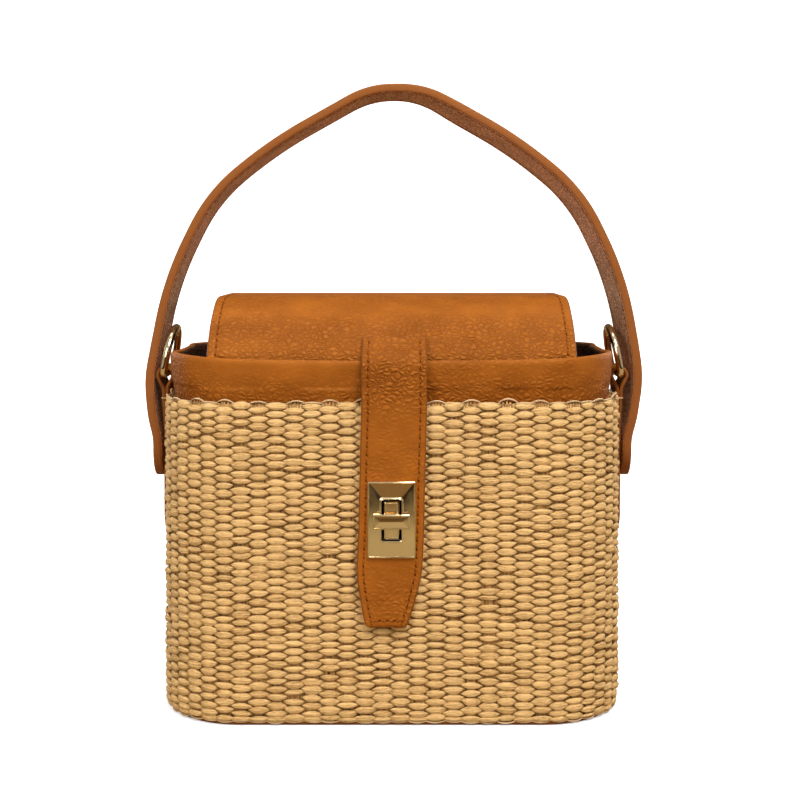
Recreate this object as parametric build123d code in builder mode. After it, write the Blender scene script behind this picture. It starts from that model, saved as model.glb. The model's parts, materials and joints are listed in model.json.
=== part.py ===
"""Small box handbag: woven raffia walls, leather collar, flap, closing strap with a turn lock,
side tabs with D-rings, and a swinging leather handle.

Frame: millimetres, +Z up, the front faces -Y, origin at the middle of the base's underside.
"""
import os
from math import cos, radians, sin, tan

from build123d import *

os.makedirs("parts", exist_ok=True)

# Body, in plan a rectangle with rounded corners
body_width = 178.0
body_depth = 100.0
corner_radius = 32.0
layer_gap = 0.2
overrun = 1.0

# Raffia wall: upright ribs, one for each hidden stake of the weave
rib_count = 76
rib_height = 0.7
raffia_core = 2.0
raffia_bottom = 2.3
raffia_height = 120.1

# Leather base and the stiff inner wall that stands on it
base_thickness = 3.0
base_edge_bevel = 0.6
wall_thickness = 3.0

# Leather collar, which stands on the inner wall and shows above the raffia
collar_tuck = 10.0
collar_reveal = 16.4
collar_edge_bevel = 0.8

# Lining
lining_gap = 0.15
lining_thickness = 0.8
lining_drop = 4.0

# Flap: a bent leather sheet from the back of the collar to inside its front
flap_width = 140.8
flap_thickness = 2.4
flap_rise = 22.3
flap_front_gap = 1.3
flap_tuck = 8.0
flap_back_radius = 12.0
flap_bend_share = 0.45
hinge_gap = 0.3
shoulder_depth_shares = (0.0, 0.1, 0.308)
shoulder_rise_shares = (0.0, 0.507, 0.99)

# Closing strap
strap_width = 24.6
strap_end_width = 15.3
strap_thickness = 2.2
strap_gap = 0.4
strap_tail = 40.8
strap_taper = 22.2
strap_sewn_length = 7.4
strap_over_collar = 0.7
strap_bend_radius = 4.0
strap_root_radius = 3.0
strap_corner_radius = 2.5

# Turn lock
lock_drop = 43.4
plate_width = 17.95
plate_height = 28.65
plate_thickness = 1.3
plate_bevel = 0.7
frame_border = 0.5
frame_height = 0.9
slot_width = 7.5
slot_height = 15.4
boss_width = 5.5
boss_height = 14.0
boss_stand = 0.5
flange_margin = 3.2
flange_thickness = 1.2
flange_sink = 0.1
bar_length = 13.8
bar_height = 5.6
bar_thickness = 2.4
bar_bevel = 0.5
bar_gap = 0.3
spindle_diameter = 3.6
spindle_clearance = 0.2
spindle_length = 4.0
prong_width = 3.0
prong_thickness = 1.0
prong_clearance = 0.1
washer_thickness = 0.6
washer_margin = 1.5
washer_clearance = 0.1

# Side tabs and D-rings
tab_width = 16.0
tab_thickness = 2.8
tab_layer = 1.2
tab_tail = 32.3
ring_wire = 3.0
wire_sides = 8
ring_play = 0.5
ring_bar_rise = 6.9
ring_bar_out = 3.0
ring_width = 27.2
ring_height = 21.8
ring_corner_radius = 3.0
ring_lean = 10.5
throat_drop = 8.3
throat_width = 0.6

# Handle: two layers of leather, on one rivet at each side
handle_width = 23.4
handle_outer_thickness = 2.0
handle_lining_thickness = 1.4
handle_gap = 0.3
handle_reach = 108.2
handle_lean = 3.5
handle_bend_share = 0.45
rivet_drop = 14.4
tail_drop = 9.7
rivet_diameter = 4.6
rivet_clearance = 0.3
rivet_head_diameter = 7.0
rivet_head_thickness = 0.8
rivet_head_gap = 0.2
rivet_cap_diameter = 10.0
# The route where the two layers meet: it flares out past the ring, and its upper corners are
# shares of the half width at the foot and of the rise above the ring
arch_foot_rise = 6.4
arch_flare_rise = 13.2
arch_flare = 2.3
arch_bulge = 4.3
arch_bulge_drop = 1.3
arch_out_shares = (0.973, 0.791, 0.5315, 0.128)
arch_rise_shares = (0.343, 0.636, 0.813, 1.0)

# Sizes that follow from the ones above
raffia_thickness = raffia_core + rib_height
wall_inset = raffia_thickness + layer_gap
cavity_inset = wall_inset + wall_thickness
raffia_top = raffia_bottom + raffia_height
collar_bottom = raffia_top - collar_tuck
collar_top = raffia_top + collar_reveal
lock_height = raffia_top - lock_drop
strap_end_height = lock_height - strap_tail
ring_bar_height = raffia_top + ring_bar_rise
rivet_height = collar_bottom - rivet_drop
tab_foot_height = rivet_height - tab_tail
half_width = body_width / 2
half_depth = body_depth / 2
lining_inset = cavity_inset + lining_gap
collar_back = half_depth - wall_inset
wall_inside = half_depth - cavity_inset
hinge_y = collar_back - flap_thickness / 2
hinge_z = collar_top + hinge_gap + flap_thickness / 2
flap_front = -(wall_inside - flap_front_gap)
flap_top = collar_top + flap_rise
strap_inner = -(half_depth + strap_gap)
strap_outer = strap_inner - strap_thickness
plate_front = strap_outer - plate_thickness
frame_front = plate_front - frame_height
boss_front = frame_front - boss_stand
bar_back = boss_front - bar_gap
flange_front = -half_depth + flange_sink
flange_back = flange_front + flange_thickness
flange_width = boss_width + 2 * flange_margin
flange_height = boss_height + 2 * flange_margin
prong_spread = boss_height + flange_margin
prong_hole = (prong_width + 2 * prong_clearance, prong_thickness + 2 * prong_clearance)
tab_inner = half_width + layer_gap
tab_outer = tab_inner + tab_thickness
tab_middle = tab_inner + tab_thickness / 2
ring_bar_x = half_width + ring_bar_out
loop_radius = ring_wire / 2 + ring_play
handle_foot = tab_outer + handle_gap + handle_lining_thickness
handle_top = collar_top + handle_reach
handle_rise = handle_top - rivet_height - handle_outer_thickness
bulge_rise = ring_bar_height - rivet_height - arch_bulge_drop
loop_throat = ring_bar_height - throat_drop


def outline(inset, mode=Mode.ADD):
    """The body's plan outline, moved in by inset."""
    width = body_width - 2 * inset
    depth = body_depth - 2 * inset
    return RectangleRounded(width, depth, corner_radius - inset, mode=mode)


def bend_radii(points, share):
    """A radius for each corner of a route: its bends take up this share of the shorter run."""
    places = [Vector(*point) for point in points]
    radii = []
    for before, here, after in zip(places, places[1:], places[2:]):
        turn = (here - before).get_angle(after - here)
        run = min((here - before).length, (after - here).length)
        radii.append(share * run / tan(radians(turn) / 2))
    return radii


def export(builder, name):
    """Label a finished sub-part and write it to its file."""
    builder.part.label = name
    export_step(builder.part, f"parts/{name}.step")


# Leather base
with BuildPart() as base_panel:
    with BuildSketch():
        outline(wall_inset)
    extrude(amount=base_thickness)
    chamfer(base_panel.faces().sort_by(Axis.Z)[0].edges(), length=base_edge_bevel)
export(base_panel, "base_panel")

# Raffia wall: a ring of ribs, one arc from valley to valley over each stake
with BuildSketch(mode=Mode.PRIVATE) as crest_plan:
    outline(0)
crest_line = crest_plan.sketch.faces()[0].outer_wire()


def rib_point(share, depth):
    """The point at this share of the way round the plan, this deep under the ribs' crests."""
    here = crest_line @ share
    outward = (crest_line % share).cross(Vector(0, 0, 1))
    if outward.dot(here) < 0:
        outward = -outward
    return here - outward * depth


with BuildPart() as raffia_wall:
    with BuildSketch(Plane.XY.offset(raffia_bottom)):
        with BuildLine():
            for rib in range(rib_count):
                ThreePointArc(
                    rib_point(rib / rib_count, rib_height),
                    rib_point((rib + 0.5) / rib_count, 0),
                    rib_point(((rib + 1) % rib_count) / rib_count, rib_height),
                )
        make_face()
        outline(raffia_thickness, mode=Mode.SUBTRACT)
    extrude(amount=raffia_height)
    # The seat of the lock's flange, and the holes for its prongs and the rivets
    with BuildSketch(Plane.XZ.offset(half_depth + overrun)):
        with Locations((0, lock_height)):
            Rectangle(flange_width + 2 * washer_clearance, flange_height + 2 * washer_clearance)
    extrude(amount=-(overrun + half_depth + flange_back), mode=Mode.SUBTRACT)
    with BuildSketch(Plane.XZ):
        with Locations((0, lock_height)):
            with GridLocations(0, prong_spread, 1, 2):
                Rectangle(*prong_hole)
    extrude(amount=half_depth, mode=Mode.SUBTRACT)
    with BuildSketch(Plane.YZ):
        with Locations((0, rivet_height)):
            Circle(rivet_diameter / 2 + prong_clearance)
    extrude(amount=half_width + overrun, both=True, mode=Mode.SUBTRACT)
export(raffia_wall, "raffia_wall")

# Stiff inner wall
with BuildPart() as inner_wall:
    with BuildSketch(Plane.XY.offset(base_thickness)):
        outline(wall_inset)
        outline(cavity_inset, mode=Mode.SUBTRACT)
    extrude(amount=collar_bottom - base_thickness)
    # The seats of the lock's washer and the rivets' caps, and the holes that lead to them
    with BuildSketch(Plane.XZ.offset(wall_inside)):
        with Locations((0, lock_height)):
            Rectangle(flange_width + 2 * washer_clearance, flange_height + 2 * washer_clearance)
    extrude(amount=washer_thickness + washer_clearance, mode=Mode.SUBTRACT)
    with BuildSketch(Plane.XZ):
        with Locations((0, lock_height)):
            with GridLocations(0, prong_spread, 1, 2):
                Rectangle(*prong_hole)
    extrude(amount=half_depth, mode=Mode.SUBTRACT)
    with BuildSketch(Plane.YZ):
        with Locations((0, rivet_height)):
            Circle(rivet_diameter / 2 + prong_clearance)
    extrude(amount=half_width, both=True, mode=Mode.SUBTRACT)
    with BuildSketch(Plane.YZ):
        with Locations((0, rivet_height)):
            Circle(rivet_cap_diameter / 2 + prong_clearance)
    cap_seat = half_width - cavity_inset + rivet_head_thickness + washer_clearance
    extrude(amount=cap_seat, both=True, mode=Mode.SUBTRACT)
export(inner_wall, "inner_wall")

# Leather collar
with BuildPart() as collar:
    with BuildSketch(Plane.XY.offset(collar_bottom)):
        outline(wall_inset)
        outline(cavity_inset, mode=Mode.SUBTRACT)
    extrude(amount=collar_top - collar_bottom)
    chamfer(collar.faces().sort_by(Axis.Z)[-1].edges(), length=collar_edge_bevel)
export(collar, "collar")

# Lining: a thin bag inside the walls
with BuildPart() as lining:
    with BuildSketch(Plane.XY.offset(base_thickness)):
        outline(lining_inset)
    extrude(amount=collar_top - lining_drop - base_thickness)
    with BuildSketch(Plane.XY.offset(base_thickness + lining_thickness)):
        outline(lining_inset + lining_thickness)
    extrude(amount=collar_top - base_thickness, mode=Mode.SUBTRACT)
export(lining, "lining")

# Flap: its outer face in the YZ plane, from the tucked front edge to the hinge at the back
flap_depth = collar_back - flap_front
shoulder = [
    (
        flap_front + flap_depth * out,
        collar_top - layer_gap + (flap_top - collar_top) * up,
    )
    for out, up in zip(shoulder_depth_shares, shoulder_rise_shares)
]
flap_route = [
    (flap_front, collar_top - flap_tuck),
    *shoulder,
    (collar_back, flap_top),
    (collar_back, hinge_z - flap_thickness / 2),
]
flap_radii = bend_radii(flap_route[:-1], flap_bend_share) + [flap_back_radius]

with BuildPart() as flap:
    with BuildSketch(Plane.YZ):
        with BuildLine():
            FilletPolyline(*flap_route, radius=flap_radii)
            offset(amount=flap_thickness, side=Side.RIGHT)
        make_face()
    extrude(amount=flap_width / 2, both=True)
    # The tucked corners follow the collar's rounded inside
    with BuildSketch(Plane.XY.offset(collar_top - flap_tuck - overrun)):
        with Locations((0, -half_depth / 2)):
            Rectangle(body_width, half_depth)
        outline(cavity_inset + flap_front_gap, mode=Mode.SUBTRACT)
    extrude(amount=overrun + flap_tuck + hinge_gap, mode=Mode.SUBTRACT)
    hinge_edges = flap.edges().filter_by(Axis.X).filter_by_position(
        Axis.Y, hinge_y - flap_thickness, hinge_y + flap_thickness
    )
    fillet(hinge_edges.group_by(Axis.Z)[0], radius=flap_thickness / 2 - layer_gap / 2)
export(flap, "flap")

# Closing strap: sewn to the flap's front slope, over the collar and down the front
slope_foot = Vector(*shoulder[0])
slope = (Vector(*shoulder[1]) - slope_foot).normalized()
strap_lift = collar_top + strap_over_collar
strap_leaves = slope_foot + slope * ((strap_lift - slope_foot.Y) / slope.Y)
strap_route = [
    strap_leaves + slope * strap_sewn_length,
    strap_leaves,
    (strap_inner, strap_lift),
    (strap_inner, strap_end_height),
]

with BuildPart() as closing_strap:
    with BuildSketch(Plane.YZ):
        with BuildLine():
            FilletPolyline(*strap_route, radius=[strap_root_radius, strap_bend_radius])
            offset(amount=strap_thickness, side=Side.RIGHT)
        make_face()
    extrude(amount=strap_width / 2, both=True)
    with BuildSketch(Plane.XZ) as strap_front:
        with BuildLine():
            Polyline(
                (-strap_end_width / 2, strap_end_height),
                (strap_end_width / 2, strap_end_height),
                (strap_width / 2, strap_end_height + strap_taper),
                (strap_width / 2, flap_top),
                (-strap_width / 2, flap_top),
                (-strap_width / 2, strap_end_height + strap_taper),
                close=True,
            )
        make_face()
        fillet(strap_front.vertices().group_by(Axis.Y)[0], radius=strap_corner_radius)
    extrude(amount=body_depth, mode=Mode.INTERSECT)
    with BuildSketch(Plane.XZ):
        with Locations((0, lock_height)):
            Rectangle(slot_width, slot_height)
    extrude(amount=body_depth, mode=Mode.SUBTRACT)
    with BuildSketch(Plane.XZ.offset(-strap_inner)):
        with Locations((0, lock_height)):
            Rectangle(plate_width - washer_margin, plate_height - washer_margin)
    extrude(amount=washer_thickness + washer_clearance, mode=Mode.SUBTRACT)
export(closing_strap, "closing_strap")

# Lock plate on the strap, with a raised frame round its slot
with BuildPart() as lock_plate:
    with BuildSketch(Plane.XZ.offset(-strap_outer)):
        with Locations((0, lock_height)):
            Rectangle(plate_width, plate_height)
    extrude(amount=plate_thickness)
    chamfer(lock_plate.faces().sort_by(Axis.Y)[0].edges(), length=plate_bevel)
    with BuildSketch(Plane.XZ.offset(-plate_front)):
        with Locations((0, lock_height)):
            Rectangle(slot_width + 2 * frame_border, slot_height + 2 * frame_border)
    extrude(amount=frame_height)
    with BuildSketch(Plane.XZ):
        with Locations((0, lock_height)):
            Rectangle(slot_width, slot_height)
    extrude(amount=body_depth, mode=Mode.SUBTRACT)
export(lock_plate, "lock_plate")

# Washer that holds the lock plate, let into the strap's back
with BuildPart() as lock_plate_washer:
    with BuildSketch(Plane.XZ.offset(-strap_inner + washer_clearance)):
        with Locations((0, lock_height)):
            Rectangle(
                plate_width - washer_margin - 2 * washer_clearance,
                plate_height - washer_margin - 2 * washer_clearance,
            )
            Rectangle(slot_width, slot_height, mode=Mode.SUBTRACT)
    extrude(amount=washer_thickness)
export(lock_plate_washer, "lock_plate_washer")

# Lock base: a flange let into the raffia, the boss that fills the slot, and two flat prongs
with BuildPart() as lock_base:
    with BuildSketch(Plane.XZ.offset(-flange_back)):
        with Locations((0, lock_height)):
            Rectangle(flange_width, flange_height)
    extrude(amount=flange_thickness)
    with BuildSketch(Plane.XZ.offset(-flange_front)):
        with Locations((0, lock_height)):
            Rectangle(boss_width, boss_height)
    extrude(amount=flange_front - boss_front)
    with BuildSketch(Plane.XZ.offset(-boss_front)):
        with Locations((0, lock_height)):
            Circle(spindle_diameter / 2 + spindle_clearance)
    extrude(amount=-(spindle_length + spindle_clearance), mode=Mode.SUBTRACT)
    with BuildSketch(Plane.XZ.offset(-flange_back)):
        with Locations((0, lock_height)):
            with GridLocations(0, prong_spread, 1, 2):
                Rectangle(prong_width, prong_thickness)
    extrude(amount=flange_back + wall_inside)
export(lock_base, "lock_base")

# Washer that the prongs are clinched on, let into the inner wall
with BuildPart() as lock_washer:
    with BuildSketch(Plane.XZ.offset(wall_inside + washer_clearance)):
        with Locations((0, lock_height)):
            Rectangle(flange_width, flange_height)
            with GridLocations(0, prong_spread, 1, 2):
                Rectangle(*prong_hole, mode=Mode.SUBTRACT)
    extrude(amount=washer_thickness)
export(lock_washer, "lock_washer")

# Turn bar, lying across the slot, on its spindle
with BuildPart() as turn_bar:
    with BuildSketch(Plane.XZ.offset(-bar_back)):
        with Locations((0, lock_height)):
            Rectangle(bar_length, bar_height)
    extrude(amount=bar_thickness)
    chamfer(turn_bar.faces().sort_by(Axis.Y)[0].edges(), length=bar_bevel)
    with BuildSketch(Plane.XZ.offset(-bar_back)):
        with Locations((0, lock_height)):
            Circle(spindle_diameter / 2)
    extrude(amount=-(bar_gap + spindle_length))
export(turn_bar, "turn_bar")

# Side tab: a strip folded over the D-ring's bar, its two ends laid together down the side
with BuildPart() as side_tab_right:
    with BuildSketch(Plane.XZ):
        with BuildLine():
            CenterArc((ring_bar_x, ring_bar_height), loop_radius + tab_layer, 0, 360)
            Line((tab_inner, loop_throat), (tab_outer, loop_throat))
        make_hull()
        with Locations((tab_middle, (tab_foot_height + loop_throat) / 2)):
            Rectangle(tab_thickness, loop_throat - tab_foot_height)
        with BuildSketch(mode=Mode.PRIVATE) as eye:
            with BuildLine():
                CenterArc((ring_bar_x, ring_bar_height), loop_radius, 0, 360)
                CenterArc((tab_middle, loop_throat + tab_layer), throat_width / 2, 0, 360)
            make_hull()
        add(eye.sketch, mode=Mode.SUBTRACT)
    extrude(amount=tab_width / 2, both=True)
    foot_edges = side_tab_right.edges().filter_by(Axis.X).group_by(Axis.Z)[0]
    fillet(foot_edges, radius=tab_width / 2 - layer_gap)
    with BuildSketch(Plane.YZ):
        with Locations((0, rivet_height)):
            Circle(rivet_diameter / 2 + prong_clearance)
    extrude(amount=tab_outer + overrun, mode=Mode.SUBTRACT)
export(side_tab_right, "side_tab_right")

with BuildPart() as side_tab_left:
    mirror(side_tab_right.part, about=Plane.YZ)
export(side_tab_left, "side_tab_left")

# D-ring: its bar lies in the tab's loop and its bow leans in over the collar
ring_plane = Plane(
    origin=(ring_bar_x, 0, ring_bar_height),
    x_dir=(0, 1, 0),
    z_dir=(cos(radians(ring_lean)), 0, sin(radians(ring_lean))),
)
bow_radius = (ring_width - ring_wire) / 2
limb = ring_height - ring_wire - bow_radius

with BuildPart() as d_ring_right:
    with BuildLine(ring_plane) as ring_line:
        FilletPolyline(
            (-bow_radius, limb),
            (-bow_radius, 0),
            (bow_radius, 0),
            (bow_radius, limb),
            radius=ring_corner_radius,
        )
        ThreePointArc((bow_radius, limb), (0, limb + bow_radius), (-bow_radius, limb))
    with BuildSketch(Plane(origin=ring_line.line @ 0, z_dir=ring_line.line % 0)):
        RegularPolygon(radius=ring_wire / 2, side_count=wire_sides)
    sweep()
export(d_ring_right, "d_ring_right")

with BuildPart() as d_ring_left:
    mirror(d_ring_right.part, about=Plane.YZ)
export(d_ring_left, "d_ring_left")

# Handle: both layers follow one route, from the right tail over the top to the left tail
handle_plane = Plane(
    origin=(0, 0, rivet_height),
    x_dir=(1, 0, 0),
    z_dir=(0, -cos(radians(handle_lean)), sin(radians(handle_lean))),
)
arch_top = [
    (handle_foot * out, bulge_rise + (handle_rise - bulge_rise) * up)
    for out, up in zip(arch_out_shares, arch_rise_shares)
]
arch_right = [
    (handle_foot, -tail_drop),
    (handle_foot, arch_foot_rise),
    (handle_foot + arch_flare, arch_flare_rise),
    (handle_foot + arch_bulge, bulge_rise),
    *arch_top,
]
arch_route = arch_right + [(-x, z) for x, z in reversed(arch_right)]
arch_radii = bend_radii(arch_route, handle_bend_share)


def handle_layer(thickness, side):
    """One layer of the handle's leather, with round tails."""
    with BuildPart() as layer:
        with BuildSketch(handle_plane):
            with BuildLine():
                FilletPolyline(*arch_route, radius=arch_radii)
                offset(amount=thickness, side=side)
            make_face()
        extrude(amount=handle_width / 2, both=True)
        tail_edges = layer.edges().filter_by(Axis.X).sort_by(Axis.Z)[:4]
        fillet(tail_edges, radius=handle_width / 2 - layer_gap)
    return layer.part


outer_layer = handle_layer(handle_outer_thickness, Side.RIGHT)
inner_layer = handle_layer(handle_lining_thickness, Side.LEFT)

with BuildPart() as handle_strap:
    add(outer_layer)
    with BuildSketch(Plane.YZ):
        with Locations((0, rivet_height)):
            Circle(rivet_head_diameter / 2 + rivet_clearance)
    extrude(
        amount=handle_foot + rivet_head_thickness + 2 * rivet_head_gap,
        both=True,
        mode=Mode.SUBTRACT,
    )
export(handle_strap, "handle_strap")

with BuildPart() as handle_lining:
    add(inner_layer)
    with BuildSketch(Plane.YZ):
        with Locations((0, rivet_height)):
            Circle(rivet_diameter / 2 + rivet_clearance)
    extrude(amount=handle_foot + overrun, both=True, mode=Mode.SUBTRACT)
export(handle_lining, "handle_lining")

# Handle rivet: cap in the inner wall, shank, and a flat head between the handle's layers
with BuildPart() as handle_rivet_right:
    with BuildSketch(Plane.YZ.offset(cap_seat - rivet_head_thickness)):
        with Locations((0, rivet_height)):
            Circle(rivet_cap_diameter / 2)
    extrude(amount=rivet_head_thickness)
    with BuildSketch(Plane.YZ.offset(cap_seat)):
        with Locations((0, rivet_height)):
            Circle(rivet_diameter / 2)
    extrude(amount=handle_foot + rivet_head_gap - cap_seat)
    with BuildSketch(Plane.YZ.offset(handle_foot + rivet_head_gap)):
        with Locations((0, rivet_height)):
            Circle(rivet_head_diameter / 2)
    extrude(amount=rivet_head_thickness)
export(handle_rivet_right, "handle_rivet_right")

with BuildPart() as handle_rivet_left:
    mirror(handle_rivet_right.part, about=Plane.YZ)
export(handle_rivet_left, "handle_rivet_left")
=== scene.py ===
"""Looks of the raffia handbag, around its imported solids.

Metres, +Z up, the front faces -Y, origin at the middle of the base's underside.
Every new piece is a surface worked out on a grid with numpy, at its place in the frame.
"""
import json
import math

import bpy
import numpy as np
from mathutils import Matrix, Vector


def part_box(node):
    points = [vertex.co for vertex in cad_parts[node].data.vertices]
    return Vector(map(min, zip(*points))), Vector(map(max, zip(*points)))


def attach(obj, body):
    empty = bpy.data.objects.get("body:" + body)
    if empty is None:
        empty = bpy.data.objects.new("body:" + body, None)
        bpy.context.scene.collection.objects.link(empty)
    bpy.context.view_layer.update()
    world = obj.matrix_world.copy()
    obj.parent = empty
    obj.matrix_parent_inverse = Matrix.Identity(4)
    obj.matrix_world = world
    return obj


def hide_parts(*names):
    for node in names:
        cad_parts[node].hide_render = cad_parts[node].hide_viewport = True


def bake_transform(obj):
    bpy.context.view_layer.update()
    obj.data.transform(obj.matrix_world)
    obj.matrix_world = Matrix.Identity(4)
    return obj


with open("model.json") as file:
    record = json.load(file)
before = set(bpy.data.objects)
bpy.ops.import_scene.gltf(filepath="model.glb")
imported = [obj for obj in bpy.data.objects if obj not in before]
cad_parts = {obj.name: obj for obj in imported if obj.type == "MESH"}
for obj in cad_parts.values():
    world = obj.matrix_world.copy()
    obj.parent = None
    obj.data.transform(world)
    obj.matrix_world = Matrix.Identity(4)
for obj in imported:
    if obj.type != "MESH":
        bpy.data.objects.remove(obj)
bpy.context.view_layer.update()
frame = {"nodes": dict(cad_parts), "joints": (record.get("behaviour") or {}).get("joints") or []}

MM = 0.001
UP = np.array([0.0, 0.0, 1.0])
RIGHT = np.array([1.0, 0.0, 0.0])

# Places taken from the solids
COLLAR_LOW, COLLAR_HIGH = (np.array(corner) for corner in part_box("collar"))
WALL_LOW, WALL_HIGH = (np.array(corner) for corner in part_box("raffia_wall"))
FLAP_LOW, FLAP_HIGH = (np.array(corner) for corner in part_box("flap"))
STRAP_LOW, STRAP_HIGH = (np.array(corner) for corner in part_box("closing_strap"))
PLATE_LOW, PLATE_HIGH = (np.array(corner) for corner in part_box("lock_plate"))
LOCK_BASE_LOW, LOCK_BASE_HIGH = (np.array(corner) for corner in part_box("lock_base"))
BAR_LOW, BAR_HIGH = (np.array(corner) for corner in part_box("turn_bar"))
HANDLE_HIGH = np.array(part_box("handle_strap")[1])
TAB_LOW = np.array(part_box("side_tab_right")[0])
LINING_LOW, LINING_HIGH = (np.array(corner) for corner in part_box("lining"))
JOINTS = {joint["name"]: joint for joint in frame["joints"]}
RIVET_Z = JOINTS["handle_swing"]["pos_m"][2]
RING_BAR = np.array(JOINTS["ring_right_swing"]["pos_m"])
LOCK_Z = JOINTS["lock_turn"]["pos_m"][2]
HINGE = np.array(JOINTS["flap_hinge"]["pos_m"])

# Plan outline of the body
HALF_DEPTH = WALL_HIGH[1]
COLLAR_INSET = HALF_DEPTH - COLLAR_HIGH[1]
HALF_WIDTH = COLLAR_HIGH[0] + COLLAR_INSET
CORNER = 32 * MM
FRONT_RUN = HALF_WIDTH - CORNER
SIDE_RUN = HALF_DEPTH - CORNER
CORNER_RUN = CORNER * math.pi / 2
OUTLINE_JOINTS = np.cumsum(
    [0, FRONT_RUN, CORNER_RUN, 2 * SIDE_RUN, CORNER_RUN, 2 * FRONT_RUN]
    + [CORNER_RUN, 2 * SIDE_RUN, CORNER_RUN, FRONT_RUN]
)
GIRTH = OUTLINE_JOINTS[-1]
CORNER_MIDDLE = (FRONT_RUN + CORNER_RUN / 2) / GIRTH
BAND_STEPS = 420
LINING_STEPS = 300
FLOOR_SHARES = (0.66, 0.33, 0.02)

# Sizes of the raffia weave
COLUMNS = 76
COLUMN_PITCH = GIRTH / COLUMNS
WEAVE_FOOT = WALL_LOW[2] - 0.7 * MM
WEAVE_SPREAD = 0.9 * MM
STRAND_STRAY = 0.12 * MM
FLOAT_PITCH = 3.14 * MM
FLOAT_HALF_HEIGHT = 1.6 * MM
FLOAT_HALF_LENGTH = 0.67 * COLUMN_PITCH
FLOAT_SINK = 1.5 * MM
FLOAT_CROWN = 0.75 * MM
FLOAT_FOOT_ROOM = 0.9 * MM
FLOAT_TIP_STRAY = 0.22 * MM
FLOAT_PROUD = 0.16 * MM
LOOP_DEPTH = 0.7 * MM
LOOP_TUCK = 1.0 * MM
LOOP_HALF_DEPTH = 0.44 * MM
LOOP_HALF_HEIGHT = 0.37 * MM
FIBRE_HALF = 0.42 * MM
FIBRE_DEPTH = 1.55 * MM
FIBRE_CROWN = 0.45 * MM
FIBRE_LEAN = 0.25 * MM
FIBRE_FALL = 0.9 * MM
STAKE_DEPTH = 1.8 * MM
STAKE_RIB = 0.7 * MM
STAKE_THICKENING = 2.0 * MM
RIM_LEAN = 1.6 * MM
RIM_LEAN_RUN = 9.0 * MM
FOOT_TUCK = 0.5 * MM
FOOT_TUCK_RUN = 7.0 * MM
LOCK_PRESS = 1.1 * MM
LOCK_PRESS_RUN = 2.5 * MM

# Sizes of the leather pieces
EDGE_ROUND = 0.7 * MM
GROOVE_DEPTH = 0.3 * MM
GROOVE_WIDTH = 0.6 * MM
STITCH_PITCH = 3.2 * MM
STITCH_RADIUS = 0.31 * MM
STITCH_SINK = 0.2 * MM
STITCH_DIP = 0.32 * MM
# The dark leaves at the stitch holes are painted shade.
HOLE_HALF_LENGTH = 0.66 * MM
HOLE_HALF_WIDTH = 0.3 * MM
HOLE_TURN = math.radians(26)
COLLAR_SAG = 1.0 * MM
COLLAR_RISE = 1.1 * MM
COLLAR_SWAY = 0.22 * MM
FLAP_THICKNESS = 2.4 * MM
FLAP_SEAM = 3.4 * MM
FLAP_TUCK = 9 * MM
FLAP_CORNER = 3 * MM
FLAP_SEAM_DROP = 8.5 * MM
STRAP_THICKNESS = 2.2 * MM
STRAP_SEAM = 2.5 * MM
STRAP_END_HALF = 7.65 * MM
STRAP_END_PITCH = 2.9 * MM
STRAP_TAPER = 22.2 * MM
STRAP_CORNER = 1.3 * MM
STRAP_CORNER_RUN = 1.6 * MM
STRAP_SWAY = 2.0 * MM
HANDLE_LAYER = 2.1 * MM
HANDLE_LINING_LAYER = 1.4 * MM
HANDLE_HALF = 11.7 * MM
HANDLE_SEAM = 2.6 * MM
HANDLE_LEAN = math.radians(3.5)
HANDLE_SLACK = 1.0 * MM
HANDLE_SHIFT = 1.2 * MM
HANDLE_TWIST = math.radians(6)
TAB_LAYER = 1.38 * MM
TAB_HALF = 8 * MM
TAB_EYE = 2.4 * MM
TAB_THROAT_DROP = 5.4 * MM
TAB_FOLD = TAB_LOW[0] + WEAVE_SPREAD + 1.4 * MM
TAB_FACE = TAB_LOW[0] + WEAVE_SPREAD + 2.8 * MM
TIE_RADIUS = 0.33 * MM
TIE_DROP = 9.8 * MM

# Sizes of the D-rings
RING_BOW = 12.1 * MM
RING_LIMB = 6.7 * MM
RING_CORNER = 3.0 * MM
RING_WIRE = 1.5 * MM
RING_LEAN = math.radians(10.5)
RING_ROOM = 23 * MM
RING_ROOM_RUN = 8 * MM
RING_DENT = 1.5 * MM

# Sizes of the turn lock
PLATE_THICKNESS = 1.3 * MM
PLATE_CORNER = 0.45 * MM
SLOT_HALF_X = 3.75 * MM
SLOT_HALF_Z = 7.7 * MM
SLOT_CORNER = 0.8 * MM
BOSS_HALF_X = 2.75 * MM
BOSS_HALF_Z = 7.0 * MM
BOSS_CORNER = 0.7 * MM
BOSS_STAND = 0.5 * MM
FLANGE_THICKNESS = 1.2 * MM
FLANGE_CORNER = 0.6 * MM
PRONG_HALF_X = 1.5 * MM
PRONG_HALF_Z = 0.5 * MM
PRONG_CORNER = 0.15 * MM
BAR_THICKNESS = 2.4 * MM
BAR_CORNER = 0.5 * MM
SPINDLE_HALF = 1.8 * MM
CLOSED_HALF = 0.1 * MM
LEAST_CORNER = 0.12 * MM
LEAST_RUN = 0.02 * MM


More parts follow.
